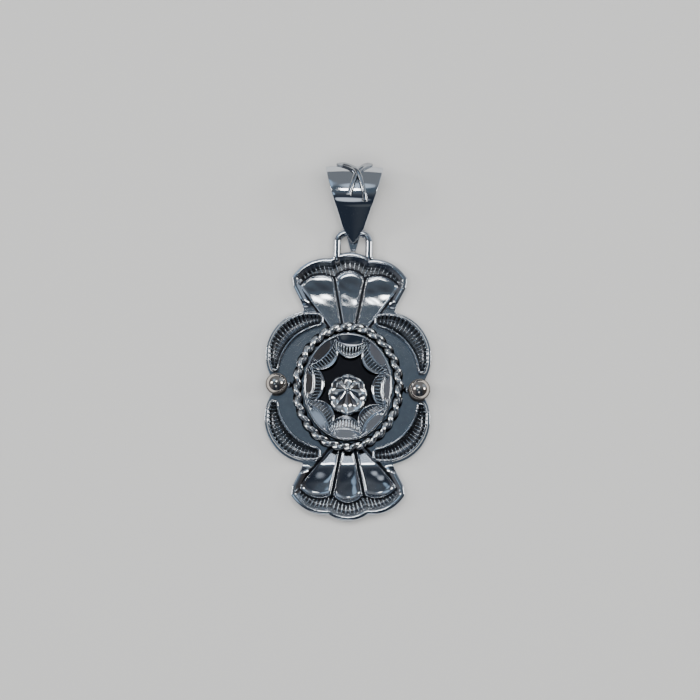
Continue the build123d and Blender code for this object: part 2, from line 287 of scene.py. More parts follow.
def triangles(points: Points, loops: list[list[int]], shapes: Sequence[Points]) -> tuple[Points, list[list[int]]]:
    """Fill flat shapes with triangles over given points.

    Args:
        points: The points, the shapes' corners among them.
        loops: Which points are the corners of each shape.
        shapes: The shapes.

    Returns:
        Points and anticlockwise triangles.
    """
    edges = [(a, b) for loop in loops for a, b in zip(loop, [*loop[1:], loop[0]])]
    result = delaunay_2d_cdt([Vector(p) for p in points], edges, [], 0, 1e-7, False)
    plan = np.array([v[:] for v in result[0]])
    faces = np.array([list(face) for face in result[2]])
    middle = plan[faces].mean(1)
    kept = np.max([depth_inside(*middle.T, shape) for shape in shapes], axis=0) > 0
    return plan, faces[kept].tolist()


# Nodes

def add_node(
    tree: bpy.types.NodeTree, kind: str, given: dict[str | int, object] | None = None, **options: object
) -> bpy.types.Node:
    """Add a node, choose its options, and set or link its inputs.

    Args:
        tree: Tree that it goes into.
        kind: Node type.
        given: For each input, by name or number, a socket to link or a value to set.
        options: The node's options, by name.

    Returns:
        The node.
    """
    node = tree.nodes.new(kind)
    for name, value in options.items():
        setattr(node, name, value)
    for key, value in (given or {}).items():
        if isinstance(value, bpy.types.NodeSocket):
            tree.links.new(value, node.inputs[key])
        else:
            node.inputs[key].default_value = value
    return node


def math_node(tree: bpy.types.NodeTree, operation: str, *values: object) -> bpy.types.NodeSocket:
    """Add a math node and give its result."""
    return add_node(tree, "ShaderNodeMath", dict(enumerate(values)), operation=operation).outputs[0]


def ramp(tree: bpy.types.NodeTree, value: bpy.types.NodeSocket, low: float, high: float) -> bpy.types.NodeSocket:
    """Rise smoothly from 0 at low to 1 at high."""
    given = {"Value": value, "From Min": low, "From Max": high}
    return add_node(tree, "ShaderNodeMapRange", given, interpolation_type="SMOOTHSTEP").outputs["Result"]


def blend(tree: bpy.types.NodeTree, share: bpy.types.NodeSocket, first: object, second: object) -> bpy.types.NodeSocket:
    """Blend from one colour to another.

    Args:
        tree: Tree that the nodes go into.
        share: How much of the second colour there is.
        first: First colour, or a socket that gives it.
        second: Second colour, or a socket that gives it.

    Returns:
        The blended colour.
    """
    given: dict[str | int, object] = {"Factor": share}
    for name, colour in (("A", first), ("B", second)):
        given[name] = colour if isinstance(colour, bpy.types.NodeSocket) else (*colour, 1)
    return add_node(tree, "ShaderNodeMix", given, data_type="RGBA").outputs["Result"]


# Finishes

@dataclass(frozen=True)
class Silver:
    """A silver finish, bright where it is rubbed and darkened where it isn't.

    Attributes:
        name: Material's name.
        bright: Colour of rubbed silver; on the balls its warm tone is a painted reflection.
        dark: Colour of the darkened silver: oxide, and on the balls and the bail loop painted shade.
        bright_roughness: Roughness of rubbed silver.
        dark_roughness: Roughness of darkened silver.
        dark_metallic: How metallic the darkened silver is.
        blotch: How unevenly it is rubbed.
        scratch: Depth of the fine scratches in millimetres.
        rubbed_from: How rubbed a point is where it begins to brighten.
        rubbed_to: How rubbed a point is where it is fully bright.
        grain_turn: Which way the scratches run, in radians.
        grain_scale: How finely the scratches repeat along, across and through them.
        blotch_scale: Blotches in a metre.
        scratch_scale: Scratches in a metre.
        pit_scale: Fine pits in a metre.
        pit_share: How much the pits count beside the scratches.
        gloss_spread: How unevenly rough the scratches make it.
    """

    name: str
    bright: Colour = (0.75, 0.78, 0.82)
    dark: Colour = (0.02, 0.021, 0.026)
    bright_roughness: float = 0.09
    dark_roughness: float = 0.3
    dark_metallic: float = 1.0
    blotch: float = 0.14
    scratch: float = 0.0007
    rubbed_from: float = 0.18
    rubbed_to: float = 0.72
    grain_turn: float = 0.6
    grain_scale: tuple[float, float, float] = (0.12, 1.4, 1.0)
    blotch_scale: float = 900
    scratch_scale: float = 2600
    pit_scale: float = 3000
    pit_share: float = 0.4
    gloss_spread: float = 0.03

    def material(self) -> bpy.types.Material:
        """Build the node material, or find it if it was built before.

        Returns:
            The material.
        """
        found = bpy.data.materials.get(self.name)
        if found:
            return found
        material = bpy.data.materials.new(self.name)
        material.use_nodes = True
        tree = material.node_tree
        shader = tree.nodes["Principled BSDF"]
        place = add_node(tree, "ShaderNodeTexCoord").outputs["Object"]
        rubbed = add_node(tree, "ShaderNodeAttribute", attribute_name=WEAR_AND_SHADE).outputs["Fac"]
        one_way = {"Vector": place, "Rotation": (0, 0, self.grain_turn), "Scale": self.grain_scale}
        streaks = add_node(tree, "ShaderNodeMapping", one_way).outputs["Vector"]
        blotches = self.noise(tree, place, self.blotch_scale, 4)
        scratches = self.noise(tree, streaks, self.scratch_scale, 2)
        pits = self.noise(tree, place, self.pit_scale, 1)
        level = self.sum_of(tree, rubbed, blotches, self.blotch)
        share = ramp(tree, level, self.rubbed_from, self.rubbed_to)
        tone = blend(tree, share, self.dark, self.bright)
        tree.links.new(tone, shader.inputs["Base Color"])
        tree.links.new(tone, shader.inputs["Specular Tint"])
        gloss = {"Value": share, "To Min": self.dark_roughness, "To Max": self.bright_roughness}
        gloss = add_node(tree, "ShaderNodeMapRange", gloss).outputs["Result"]
        tree.links.new(self.sum_of(tree, gloss, scratches, self.gloss_spread), shader.inputs["Roughness"])
        metal = add_node(tree, "ShaderNodeMapRange", {"Value": share, "To Min": self.dark_metallic})
        tree.links.new(metal.outputs["Result"], shader.inputs["Metallic"])
        grain = self.sum_of(tree, scratches, pits, self.pit_share)
        bump = add_node(tree, "ShaderNodeBump", {"Strength": 0.5, "Distance": self.scratch * MM, "Height": grain})
        tree.links.new(bump.outputs["Normal"], shader.inputs["Normal"])
        return material

    @staticmethod
    def noise(
        tree: bpy.types.NodeTree, place: bpy.types.NodeSocket, scale: float, detail: float
    ) -> bpy.types.NodeSocket:
        """Add a noise of a given scale and give its value."""
        given = {"Vector": place, "Scale": scale, "Detail": detail}
        return add_node(tree, "ShaderNodeTexNoise", given).outputs["Fac"]

    @staticmethod
    def sum_of(
        tree: bpy.types.NodeTree, base: bpy.types.NodeSocket, noise: bpy.types.NodeSocket, amount: float
    ) -> bpy.types.NodeSocket:
        """Add a noise, centred on nothing, to a value."""
        return math_node(tree, "ADD", base, math_node(tree, "MULTIPLY_ADD", noise, amount, -amount / 2))


STAMPED = Silver("stamped silver")
RUBBED = Silver("rubbed silver", bright=(0.93, 0.935, 0.93), bright_roughness=0.11)
BLACKENED = Silver("blackened ribs", bright=(0.6, 0.65, 0.7), blotch=0.2, bright_roughness=0.22)
# Warm bright colour is a painted reflection of warm surroundings; the dark brown, barely metallic colour is painted
# shade on the balls' lower half, over some tarnish.
BEAD = Silver(
    "bead silver", bright=(0.72, 0.66, 0.6), dark=(0.06, 0.052, 0.047), dark_roughness=0.45, dark_metallic=0.1
)
# Its barely metallic dark colour keeps the painted shade on the bail loop's lower sides from mirroring the floor.
MIRROR = Silver("mirror silver", bright_roughness=0.07, dark_metallic=0.2, scratch=0.0006)


# Meshes

def linked(name: str, data: bpy.types.ID) -> bpy.types.Object:
    """Make an object and link it to the scene.

    Args:
        name: Object's name.
        data: Its mesh, light or camera.

    Returns:
        The object.
    """
    made = bpy.data.objects.new(name, data)
    bpy.context.scene.collection.objects.link(made)
    return made


def piece_from(name: str, vertices: np.ndarray, faces: Faces, worn: np.ndarray, finish: Silver) -> bpy.types.Object:
    """Make a smooth-shaded object from millimetre points.

    Args:
        name: Object's name.
        vertices: Points in millimetres.
        faces: Corner indices of each face.
        worn: How bright each point is, from 0 blackened to 1 polished: rubbed wear and oxide, and on the balls and the
            bail loop painted shade.
        finish: Its finish.

    Returns:
        The linked object.
    """
    mesh = bpy.data.meshes.new(name)
    mesh.from_pydata((np.asarray(vertices, float) * MM).tolist(), [], [list(f) for f in faces])
    mesh.validate()
    mesh.shade_smooth()
    attribute = mesh.attributes.new(WEAR_AND_SHADE, "FLOAT", "POINT")
    attribute.data.foreach_set("value", np.asarray(worn, np.float32))
    mesh.materials.append(finish.material())
    return linked(name, mesh)


def grid_faces(rows: int, columns: int) -> np.ndarray:
    """Quads between rings of points stored row by row.

    Args:
        rows: Number of rings.
        columns: Points in a ring.

    Returns:
        Corner indices, one quad a row.
    """
    r, c = (a.ravel() for a in np.meshgrid(np.arange(rows - 1), np.arange(columns), indexing="ij"))
    here, beside = r * columns + c, r * columns + (c + 1) % columns
    return np.column_stack([here, beside, beside + columns, here + columns])


def skin(
    rings: Sequence[Points], low: Sequence[float] | None = None, high: Sequence[float] | None = None
) -> tuple[np.ndarray, list[list[int]]]:
    """Close a stack of rings, each end by a point or by a flat face.

    Args:
        rings: Rings of points, anticlockwise seen from beyond the last ring.
        low: Point that closes the first ring, if it isn't flat there.
        high: Point that closes the last ring, if it isn't flat there.

    Returns:
        Points and faces.
    """
    count = len(rings[0])
    points = list(rings)
    faces = grid_faces(len(rings), count).tolist()
    for base, tip, step in ((0, low, -1), ((len(rings) - 1) * count, high, 1)):
        around = list(range(base, base + count))[::step]
        if tip is None:
            faces.append(around)
        else:
            apex = sum(map(len, points))
            points.append(np.array([tip], float))
            faces += [[apex, a, b] for a, b in zip(around, [*around[1:], around[0]])]
    return np.vstack(points), faces


def tube(path: np.ndarray, radii: np.ndarray, sides: int) -> tuple[np.ndarray, list[list[int]]]:
    """Round tube along a path, closed by a point at each end.

    Args:
        path: Points of the path.
        radii: Radius at each point.
        sides: Number of sides.

    Returns:
        Points and faces.
    """
    tangent = np.gradient(path, axis=0)
    tangent /= np.linalg.norm(tangent, axis=1)[:, None]
    side = np.cross(tangent[0], (0.1, 0.2, 1.0))
    turn = np.linspace(0, 2 * math.pi, sides, endpoint=False)[:, None]
    rings = []
    for point, along, radius in zip(path, tangent, radii):
        side = side - along * side.dot(along)
        side /= np.linalg.norm(side)
        up = np.cross(along, side)
        rings.append(point + radius * (np.cos(turn) * side + np.sin(turn) * up))
    return skin(rings, path[0], path[-1])


def merged(parts: Sequence[tuple[np.ndarray, Faces]]) -> tuple[np.ndarray, list[list[int]]]:
    """Put several meshes' points and faces into one.

    Args:
        parts: Points and faces of each mesh.

    Returns:
        Points and faces.
    """
    faces, count = [], 0
    for points, part in parts:
        faces += [[i + count for i in face] for face in part]
        count += len(points)
    return np.vstack([points for points, _ in parts]), faces


def dome(
    name: str, centre: Sequence[float], radius: float, rise: float, finish: Silver, sides: int = 24
) -> bpy.types.Object:
    """A low round bead with a flat foot.

    Args:
        name: Object's name.
        centre: Middle of its foot.
        radius: Radius of its foot.
        rise: Height over its foot.
        finish: Its finish.
        sides: Number of sides.

    Returns:
        The linked object.
    """
    turn = np.linspace(0, 2 * math.pi, sides, endpoint=False)
    rings = []
    for lean in np.linspace(0, math.pi / 2 * 0.93, 7):
        reach, level = radius * math.cos(lean), rise * math.sin(lean)
        rings.append(np.column_stack([reach * np.cos(turn), reach * np.sin(turn), np.full(sides, level)]))
    vertices, faces = skin(rings, high=(0, 0, rise))
    worn = np.clip(vertices[:, 2] / rise, 0, 1) * 0.7 + 0.3
    return piece_from(name, vertices + np.asarray(centre, float), faces, worn, finish)


@dataclass
class StampedSheet:
    """A sheet with a flat back, upright edges and a face worked to any height.

    Attributes:
        outline: Closed outline.
        face: Height of the face at x, y, and how brightly it is rubbed there.
        bottom: Level of the back.
        spacing: Distance between the face's points where it is worked.
        contours: Loops with the distances inside them at which a row of points follows them.
        coarse: Distance between points elsewhere, and the test of where the sheet is worked.
        edge_round: How far the foot of its edge is rounded.
        edge_worn: How brightly its edge is rubbed.
    """

    outline: Points
    face: Face
    bottom: float
    spacing: float = 0.1
    contours: list[tuple[Points, Sequence[float]]] = field(default_factory=list)
    coarse: tuple[float, Test] | None = None
    edge_round: float = 0.08
    edge_worn: float = 0.6

    def rows(self) -> Points:
        """Points that follow the contours, at their distances inside them.

        Returns:
            The points.
        """
        found = []
        for loop, depths in self.contours:
            even = resample(loop, self.spacing)
            normal = inward(even)
            for depth in depths:
                row = even + normal * depth
                off = depth_inside(row[:, 0], row[:, 1], loop)
                found.append(row[np.abs(off - depth) < 0.015])
        return np.vstack(found) if found else np.zeros((0, 2))

    def fill(self) -> Points:
        """Grid points inside the outline that keep away from the rows.

        Returns:
            The points.
        """
        low, high = self.outline.min(0), self.outline.max(0)
        steps = [np.arange(low[i], high[i], self.spacing) for i in (0, 1)]
        x, y = (a.ravel() for a in np.meshgrid(*steps))
        keep = np.ones(len(x), bool)
        if self.coarse:
            every = max(1, round(self.coarse[0] / self.spacing))
            column, row = np.meshgrid(np.arange(len(steps[0])), np.arange(len(steps[1])))
            sparse = (column.ravel() % every == 0) & (row.ravel() % every == 0)
            keep &= sparse | self.coarse[1](x, y)
        x, y = x[keep], y[keep]
        clear = depth_inside(x, y, self.outline) > self.spacing * 0.5
        for loop, depths in self.contours:
            off = depth_inside(x, y, loop, 0.5)
            for depth in depths:
                clear &= np.abs(off - depth) > self.spacing * 0.45
        return np.column_stack([x[clear], y[clear]])

    def build(self, name: str, finish: Silver) -> bpy.types.Object:
        """Make the sheet.

        Args:
            name: Object's name.
            finish: Its finish.

        Returns:
            The linked object.
        """
        border = resample(self.outline, self.spacing)
        inner = np.vstack([self.rows(), self.fill()])
        cells = np.unique(np.round(inner / (self.spacing * 0.35)), axis=0, return_index=True)[1]
        inner = inner[cells]
        inner = inner[depth_inside(inner[:, 0], inner[:, 1], border) > self.spacing * 0.3]
        plan, faces = triangles(np.vstack([border, inner]), [list(range(len(border)))], [border])
        height, rubbed = self.face(*plan.T)
        top = np.column_stack([plan, height])
        edge = boundary_loop(faces)
        rim = plan[edge]
        wall = np.column_stack([rim, np.full(len(rim), self.bottom + self.edge_round)])
        foot = np.column_stack([rim + inward(rim) * self.edge_round, np.full(len(rim), self.bottom)])
        count, around = len(top), len(edge)
        for i in range(around):
            j = (i + 1) % around
            faces.append([edge[j], edge[i], count + i, count + j])
            faces.append([count + j, count + i, count + around + i, count + around + j])
        faces.append([count + around + i for i in reversed(range(around))])
        worn = np.concatenate([rubbed, np.full(2 * around, self.edge_worn)])
        return piece_from(name, np.vstack([top, wall, foot]), faces, worn, finish)


# Work that repeats, made by geometry nodes

@dataclass
class NodeWork:
    """A small helper that builds one geometry node tree and runs it on a guide mesh."""

    name: str

    def start(self, inputs: dict[str, float]) -> bpy.types.NodeTree:
        """Make the tree with its named inputs.

        Args:
            inputs: Name and default of each number input.

        Returns:
            The tree.
        """
        tree = bpy.data.node_groups.new(self.name, "GeometryNodeTree")
        tree.interface.new_socket("Guides", in_out="INPUT", socket_type="NodeSocketGeometry")
        for name, value in inputs.items():
            socket = tree.interface.new_socket(name, in_out="INPUT", socket_type="NodeSocketFloat")
            socket.default_value = value
        tree.interface.new_socket("Finish", in_out="INPUT", socket_type="NodeSocketMaterial")
        tree.interface.new_socket("Work", in_out="OUTPUT", socket_type="NodeSocketGeometry")
        return tree

    @staticmethod
    def end(
        tree: bpy.types.NodeTree, work: bpy.types.NodeSocket, rubbed: bpy.types.NodeSocket, finish: bpy.types.NodeSocket
    ) -> None:
        """Close the tree: smooth, real geometry with its finish.

        Args:
            tree: The tree.
            work: Geometry that it made.
            rubbed: How bright each point is rubbed.
            finish: Material.
        """
        marked = add_node(tree, "GeometryNodeStoreNamedAttribute", {"Geometry": work, "Name": WEAR_AND_SHADE, "Value": rubbed})
        shaded = add_node(tree, "GeometryNodeSetShadeSmooth", {"Geometry": marked.outputs[0]})
        real = add_node(tree, "GeometryNodeRealizeInstances", {"Geometry": shaded.outputs[0]})
        done = add_node(tree, "GeometryNodeSetMaterial", {"Geometry": real.outputs[0], "Material": finish})
        add_node(tree, "NodeGroupOutput", {"Work": done.outputs[0]})

    def run(
        self, tree: bpy.types.NodeTree, guides: bpy.types.Mesh, values: dict[str, float], finish: bpy.types.Material
    ) -> bpy.types.Object:
        """Run a tree on guides and keep the result as a plain mesh object.

        Args:
            tree: The tree.
            guides: Guide mesh.
            values: Value of each number input, by name.
            finish: Material.

        Returns:
            The linked object.
        """
        holder = linked(f"{self.name}_guides", guides)
        modifier = holder.modifiers.new("work", "NODES")
        modifier.node_group = tree
        sockets = {item.name: item.identifier for item in tree.interface.items_tree if item.in_out == "INPUT"}
        for name, value in values.items():
            modifier[sockets[name]] = value
        modifier[sockets["Finish"]] = finish
        seen = holder.evaluated_get(bpy.context.evaluated_depsgraph_get())
        mesh = bpy.data.meshes.new_from_object(seen)
        mesh.name = self.name
        holder.modifiers.remove(modifier)
        bpy.data.objects.remove(holder)
        return linked(self.name, mesh)


@dataclass
class Ribs(NodeWork):
    """Rounded ribs, one along each guide line, thin at both ends.

    Attributes:
        width: Greatest width of a rib.
        sides: Number of sides of a rib.
    """

    width: float = 0.26
    sides: int = 8

    def tree(self) -> bpy.types.NodeTree:
        """Build the tree: a tube along each guide, swelling by the guides' own attribute.

        Returns:
            The tree.
        """
        tree = self.start({"Rib Width": 0.00026, "Rib Sides": 8, "Dark Below": 0.1, "Bright Above": 0.9})
        given = add_node(tree, "NodeGroupInput").outputs
        curve = add_node(tree, "GeometryNodeMeshToCurve", {"Mesh": given["Guides"]})
        swell = add_node(tree, "GeometryNodeInputNamedAttribute", {"Name": SWELL})
        size = {"Resolution": given["Rib Sides"], "Radius": math_node(tree, "MULTIPLY", given["Rib Width"], 0.5)}
        profile = add_node(tree, "GeometryNodeCurvePrimitiveCircle", size)
        swept = {
            "Curve": curve.outputs[0],
            "Profile Curve": profile.outputs[0],
            "Scale": swell.outputs["Attribute"],
            "Fill Caps": True,
        }
        tubes = add_node(tree, "GeometryNodeCurveToMesh", swept)
        facing = add_node(tree, "GeometryNodeInputNormal")
        split = add_node(tree, "ShaderNodeSeparateXYZ", {0: facing.outputs["Normal"]})
        limits = {"Value": split.outputs["Z"], "From Min": given["Dark Below"], "From Max": given["Bright Above"]}
        rubbed = add_node(tree, "ShaderNodeMapRange", limits)
        self.end(tree, tubes.outputs[0], rubbed.outputs["Result"], given["Finish"])
        return tree

    def along(self, lines: Sequence[np.ndarray], swells: Sequence[np.ndarray], finish: Silver) -> bpy.types.Object:
        """Lay ribs along lines.

        Args:
            lines: Points of each line, in millimetres.
            swells: How thick the rib is at each of them, from 0 to 1.
            finish: Finish of the ribs.

        Returns:
            The ribs as one object.
        """
        edges, count = [], 0
        for line in lines:
            edges += [(count + i, count + i + 1) for i in range(len(line) - 1)]
            count += len(line)
        guides = bpy.data.meshes.new(self.name)
        guides.from_pydata((np.vstack(lines) * MM).tolist(), edges, [])
        swell = guides.attributes.new(SWELL, "FLOAT", "POINT")
        swell.data.foreach_set("value", np.concatenate(swells).astype(np.float32))
        values = {"Rib Width": self.width * MM, "Rib Sides": float(self.sides)}
        return self.run(self.tree(), guides, values, finish.material())


@dataclass
class RopeRing(NodeWork):
    """Oval ring of two wires twisted round each other.

    Attributes:
        half_x: Half the oval's width, at the middle of the rope.
        half_y: Half the oval's length, at the middle of the rope.
        level: Height of the middle of the rope.
        twists: Whole turns of the wires round each other.
        wire: Radius of one wire.
        lay: Distance of a wire's middle from the middle of the rope.
        points_a_twist: Points along a wire in one turn.
        sides: Sides of a wire.
        dark_below: Height over the middle of the rope up to which it is blackened.
        bright_above: Height over the middle of the rope from which it is fully rubbed.
    """

    half_x: float = 7.25
    half_y: float = 8.6
    level: float = 1.7
    twists: int = 14
    wire: float = 0.44
    lay: float = 0.31
    points_a_twist: int = 26
    sides: int = 12
    dark_below: float = 0.15
    bright_above: float = 0.55

    def tree(self) -> bpy.types.NodeTree:
        """Build the tree: the guide ring set out twice, half a turn apart, as twisted wires.

        Returns:
            The tree.
        """
        names = ("Half Width", "Half Length", "Twists", "Wire Radius", "Lay", "Level", "Dark Below", "Bright Above")
        tree = self.start(dict.fromkeys(names, 0.0))
        given = add_node(tree, "NodeGroupInput").outputs
        place = add_node(tree, "GeometryNodeInputPosition")
        split = add_node(tree, "ShaderNodeSeparateXYZ", {0: place.outputs[0]})
        angle = math_node(tree, "ARCTAN2", split.outputs["Y"], split.outputs["X"])
        cosine, sine = (math_node(tree, kind, angle) for kind in ("COSINE", "SINE"))

        def oval(x: str, y: str, level: object) -> bpy.types.NodeSocket:
            """Give the point of an oval in this direction.

            Args:
                x: Input that holds half its width.
                y: Input that holds half its length.
                level: Its height.

            Returns:
                The point.
            """
            spot = {
                "X": math_node(tree, "MULTIPLY", cosine, given[x]),
                "Y": math_node(tree, "MULTIPLY", sine, given[y]),
            }
            return add_node(tree, "ShaderNodeCombineXYZ", {**spot, "Z": level}).outputs[0]

        centre = oval("Half Width", "Half Length", given["Level"])
        outward = self.vector(tree, "NORMALIZE", oval("Half Length", "Half Width", 0.0))
        size = {"Resolution": self.sides, "Radius": given["Wire Radius"]}
        profile = add_node(tree, "GeometryNodeCurvePrimitiveCircle", size)
        join = add_node(tree, "GeometryNodeJoinGeometry")
        for phase in (0.0, math.pi):
            twist = math_node(tree, "MULTIPLY_ADD", angle, given["Twists"], phase)
            aside, above = (
                math_node(tree, "MULTIPLY", math_node(tree, kind, twist), given["Lay"]) for kind in ("COSINE", "SINE")
            )
            lifted = add_node(tree, "ShaderNodeCombineXYZ", {"Z": above}).outputs[0]
            shifted = self.vector(tree, "SCALE", outward, aside)
            spot = self.vector(tree, "ADD", self.vector(tree, "ADD", centre, shifted), lifted)
            curve = add_node(tree, "GeometryNodeMeshToCurve", {"Mesh": given["Guides"]})
            strand = add_node(tree, "GeometryNodeSetPosition", {"Geometry": curve.outputs[0], "Position": spot})
            swept = {"Curve": strand.outputs[0], "Profile Curve": profile.outputs[0]}
            tree.links.new(add_node(tree, "GeometryNodeCurveToMesh", swept).outputs[0], join.inputs[0])
        made = add_node(tree, "GeometryNodeInputPosition")
        height = add_node(tree, "ShaderNodeSeparateXYZ", {0: made.outputs[0]})
        above = math_node(tree, "SUBTRACT", height.outputs["Z"], given["Level"])
        limits = {"Value": above, "From Min": given["Dark Below"], "From Max": given["Bright Above"]}
        rubbed = add_node(tree, "ShaderNodeMapRange", limits)
        self.end(tree, join.outputs[0], rubbed.outputs["Result"], given["Finish"])
        return tree

    @staticmethod
    def vector(
        tree: bpy.types.NodeTree,
        operation: str,
        first: bpy.types.NodeSocket,
        second: bpy.types.NodeSocket | None = None,
    ) -> bpy.types.NodeSocket:
        """Add a vector math node.

        Args:
            tree: The tree.
            operation: What it does.
            first: First vector.
            second: Second vector, or the factor of a SCALE.

        Returns:
            Its result.
        """
        given = {0: first}
        if second is not None:
            given["Scale" if operation == "SCALE" else 1] = second
        return add_node(tree, "ShaderNodeVectorMath", given, operation=operation).outputs[0]

    def build(self) -> list[bpy.types.Object]:
        """Twist the two wires and give them as one object.

        Returns:
            The ring, in a list.
        """
        count = self.twists * self.points_a_twist
        turn = np.linspace(0, 2 * math.pi, count, endpoint=False)
        ring = np.column_stack([np.cos(turn), np.sin(turn), 0 * turn])
        guides = bpy.data.meshes.new(self.name)
        guides.from_pydata(ring.tolist(), [(i, (i + 1) % count) for i in range(count)], [])
        values = {
            "Half Width": self.half_x * MM,
            "Half Length": self.half_y * MM,
            "Twists": float(self.twists),
            "Wire Radius": self.wire * MM,
            "Lay": self.lay * MM,
            "Level": self.level * MM,
            "Dark Below": self.dark_below * MM,
            "Bright Above": self.bright_above * MM,
        }
        return [self.run(self.tree(), guides, values, RUBBED.material())]


# Base plate

@dataclass(frozen=True)
class Fan:
    """One stamped fan in its own upright place: outline, panels and relief.

    Attributes:
        end: The end of the pendant that it stands at.
        share: Size of the fan beside the upper one.
        turn: How far it sits askew, in degrees anticlockwise.
        rim_profile: Distance inside the outline, and share of the rim's height there.
        scoop: Place along the fan, and depth of the panels' scoops there.
        worn: How brightly the flats are rubbed.
        hatch_worn: The same in the band of short ribs.
        groove_worn: The same in the grooves between the panels.
        line_worn: The same on the fine lines round the panels.
        centre_marks: Half width of a row over the centre arch, and its rise over the arch's ends and crown.
        side_marks: Start of a row over the side arch, x of its end, that end's rise, and the row's bulge.
    """

    end: End
    share: float = 1.0
    turn: float = 0.0
    tip_y: float = 19.45
    corner: tuple[float, float] = (8.3, 15.7)
    shoulder: tuple[float, float] = (8.1, 14.3)
    neck: tuple[float, float] = (6.6, 11.4)
    foot_y: float = 4.5
    cusp: tuple[float, float] = (2.8, 18.55)
    side_bulge: float = 0.9
    arch_y: float = 15.65
    arch_rise: float = 1.0
    side_arch_rise: float = 0.85
    rib_top_x: float = 2.2
    rib_foot_x: float = 0.9
    edge_top: tuple[float, float] = (6.9, 14.4)
    edge_foot_x: float = 2.5
    panel_foot_y: float = 8.6
    line_width: float = 0.13
    line_height: float = 0.15
    groove: float = 0.32
    rim_height: float = 0.6
    rim_profile: tuple[tuple[float, float], ...] = (
        (0.0, 0.7),
        (0.05, 0.82),
        (0.14, 0.9),
        (0.25, 0.95),
        (0.36, 0.985),
        (0.46, 1.0),
        (0.56, 0.98),
        (0.7, 0.86),
        (0.85, 0.66),
        (1.05, 0.38),
        (1.25, 0.16),
        (1.45, 0.04),
        (1.6, 0.0),
    )
    scoop: tuple[tuple[float, float], ...] = ((8.6, 0.0), (11.7, 0.0), (13.2, 0.04), (13.6, 0.04), (16.6, -0.2))
    bowl_start_y: float = 11.9
    bowl_depth: float = 0.03
    arch_reach: float = 0.9
    worn: float = 0.6
    hatch_worn: float = 0.32
    groove_worn: float = 0.16
    line_worn: float = 0.85
    marks_a_lobe: int = 9
    centre_marks: tuple[tuple[float, float, float], ...] = ((2.05, 0.35, 0.42), (2.6, 1.5, 1.8))
    side_marks: tuple[tuple[tuple[float, float], float, float, float], ...] = (
        ((7.15, 14.65), 2.75, 0.35, 0.85),
        ((7.75, 15.3), 3.1, 1.7, 1.0),
    )

    def outline(self) -> Points:
        """Outline of the fan: neck, shoulder, side lobe, centre lobe and the same on the left.

        Returns:
            The outline.
        """
        nx, ny = self.neck
        cx, cy = self.cusp
        side = arc_points(self.corner, beside_chord(self.corner, self.cusp, -self.side_bulge), self.cusp, 40)
        right = np.vstack([(0, self.foot_y), (nx, self.foot_y), (nx, ny), self.shoulder, side])
        crown = arc_points((cx, cy), (0, self.tip_y), (-cx, cy), 40)
        left = right[:0:-1] * (-1, 1)
        return np.vstack([right, crown[1:-1], left])

    def panels(self) -> list[Points]:
        """Outlines of the three panels inside their frames.

        Returns:
            The centre panel, the right one and the left one.
        """
        aside = self.groove / 2 + self.line_width
        cx, fx = self.rib_top_x - aside, self.rib_foot_x - aside
        arch = arc_points((cx, self.arch_y), (0, self.arch_y + self.arch_rise), (-cx, self.arch_y), 30)
        centre = np.vstack([(fx, self.panel_foot_y), arch, (-fx, self.panel_foot_y)])
        top = (self.rib_top_x + aside, self.arch_y)
        arch = arc_points(self.edge_top, beside_chord(self.edge_top, top, -self.side_arch_rise), top, 30)
        side = np.vstack([(self.edge_foot_x, self.panel_foot_y), arch, (self.rib_foot_x + aside, self.panel_foot_y)])
        return [centre, side, side[::-1] * (-1, 1)]

    def placed(self, points: Points) -> Points:
        """Bring points of the upright fan to their place on the pendant.

        Args:
            points: Points of the upright fan.

        Returns:
            The points on the pendant.
        """
        x, y = np.array(points, float).T * self.share
        return np.column_stack(self.turned(x, y * self.end.value, self.turn))

    @staticmethod
    def turned(x: np.ndarray, y: np.ndarray, degrees: float) -> tuple[np.ndarray, np.ndarray]:
        """Turn points anticlockwise about the pendant's middle.

        Args:
            x: Points' x.
            y: Points' y.
            degrees: How far.

        Returns:
            Turned x and y.
        """
        cosine, sine = math.cos(math.radians(degrees)), math.sin(math.radians(degrees))
        return cosine * x - sine * y, sine * x + cosine * y

    def upright(self, x: np.ndarray, y: np.ndarray) -> tuple[np.ndarray, np.ndarray]:
        """Bring points on the pendant back to the upright fan."""
        u, v = self.turned(x, y, -self.turn)
        return u / self.share, v * self.end.value / self.share

    def relief(self, x: np.ndarray, y: np.ndarray) -> tuple[np.ndarray, np.ndarray]:
        """Height of the stamped relief above the sheet, and how brightly it is rubbed.

        Args:
            x: Points' x on the pendant.
            y: Points' y on the pendant.

        Returns:
            Heights and rubbed shares.
        """
        u, v = self.upright(x, y)
        depth = depth_inside(u, v, self.outline(), 2.0)
        frames = np.max([depth_inside(u, v, panel, 1.0) for panel in self.panels()], axis=0)
        beyond = smooth(self.neck[1] - 0.1, self.neck[1] + 1.2, v)
        rim = self.rim_height * np.interp(depth, *zip(*self.rim_profile)) * beyond
        side = np.abs(frames + self.line_width / 2) / (self.line_width / 2)
        ridge = self.line_height * np.clip(1.2 - np.sqrt(side**2 + 0.04), 0, 1)
        for corner in (self.corner_x(-1), self.corner_x(1)):
            away = np.hypot(np.abs(u) - corner, v - self.arch_y - 0.08)
            ridge = ridge + 0.16 * np.exp(-((away / 0.16) ** 2))
        height = np.maximum(rim, ridge) - self.hollow(u, v, frames)
        worn = self.worn + (1 - self.worn) * smooth(0.7, 0.5, depth) * beyond
        hatch = beyond * smooth(0.95, 1.3, depth) * (frames < -self.line_width)
        worn = worn - (self.worn - self.hatch_worn) * hatch
        between = (frames < -self.line_width) & (frames > -self.line_width - self.groove) & (depth > 1.0)
        worn = np.where(between & (v > self.panel_foot_y), self.groove_worn, worn)
        worn = np.where(side < 0.5, self.line_worn, worn)
        return height, np.clip(worn, 0.08, 1)

    def corner_x(self, sign: int) -> float:
        """Where an arch springs, on the centre panel's side (-1) or the side panel's (1) of the line between them."""
        return self.rib_top_x + sign * (self.groove + self.line_width) / 2

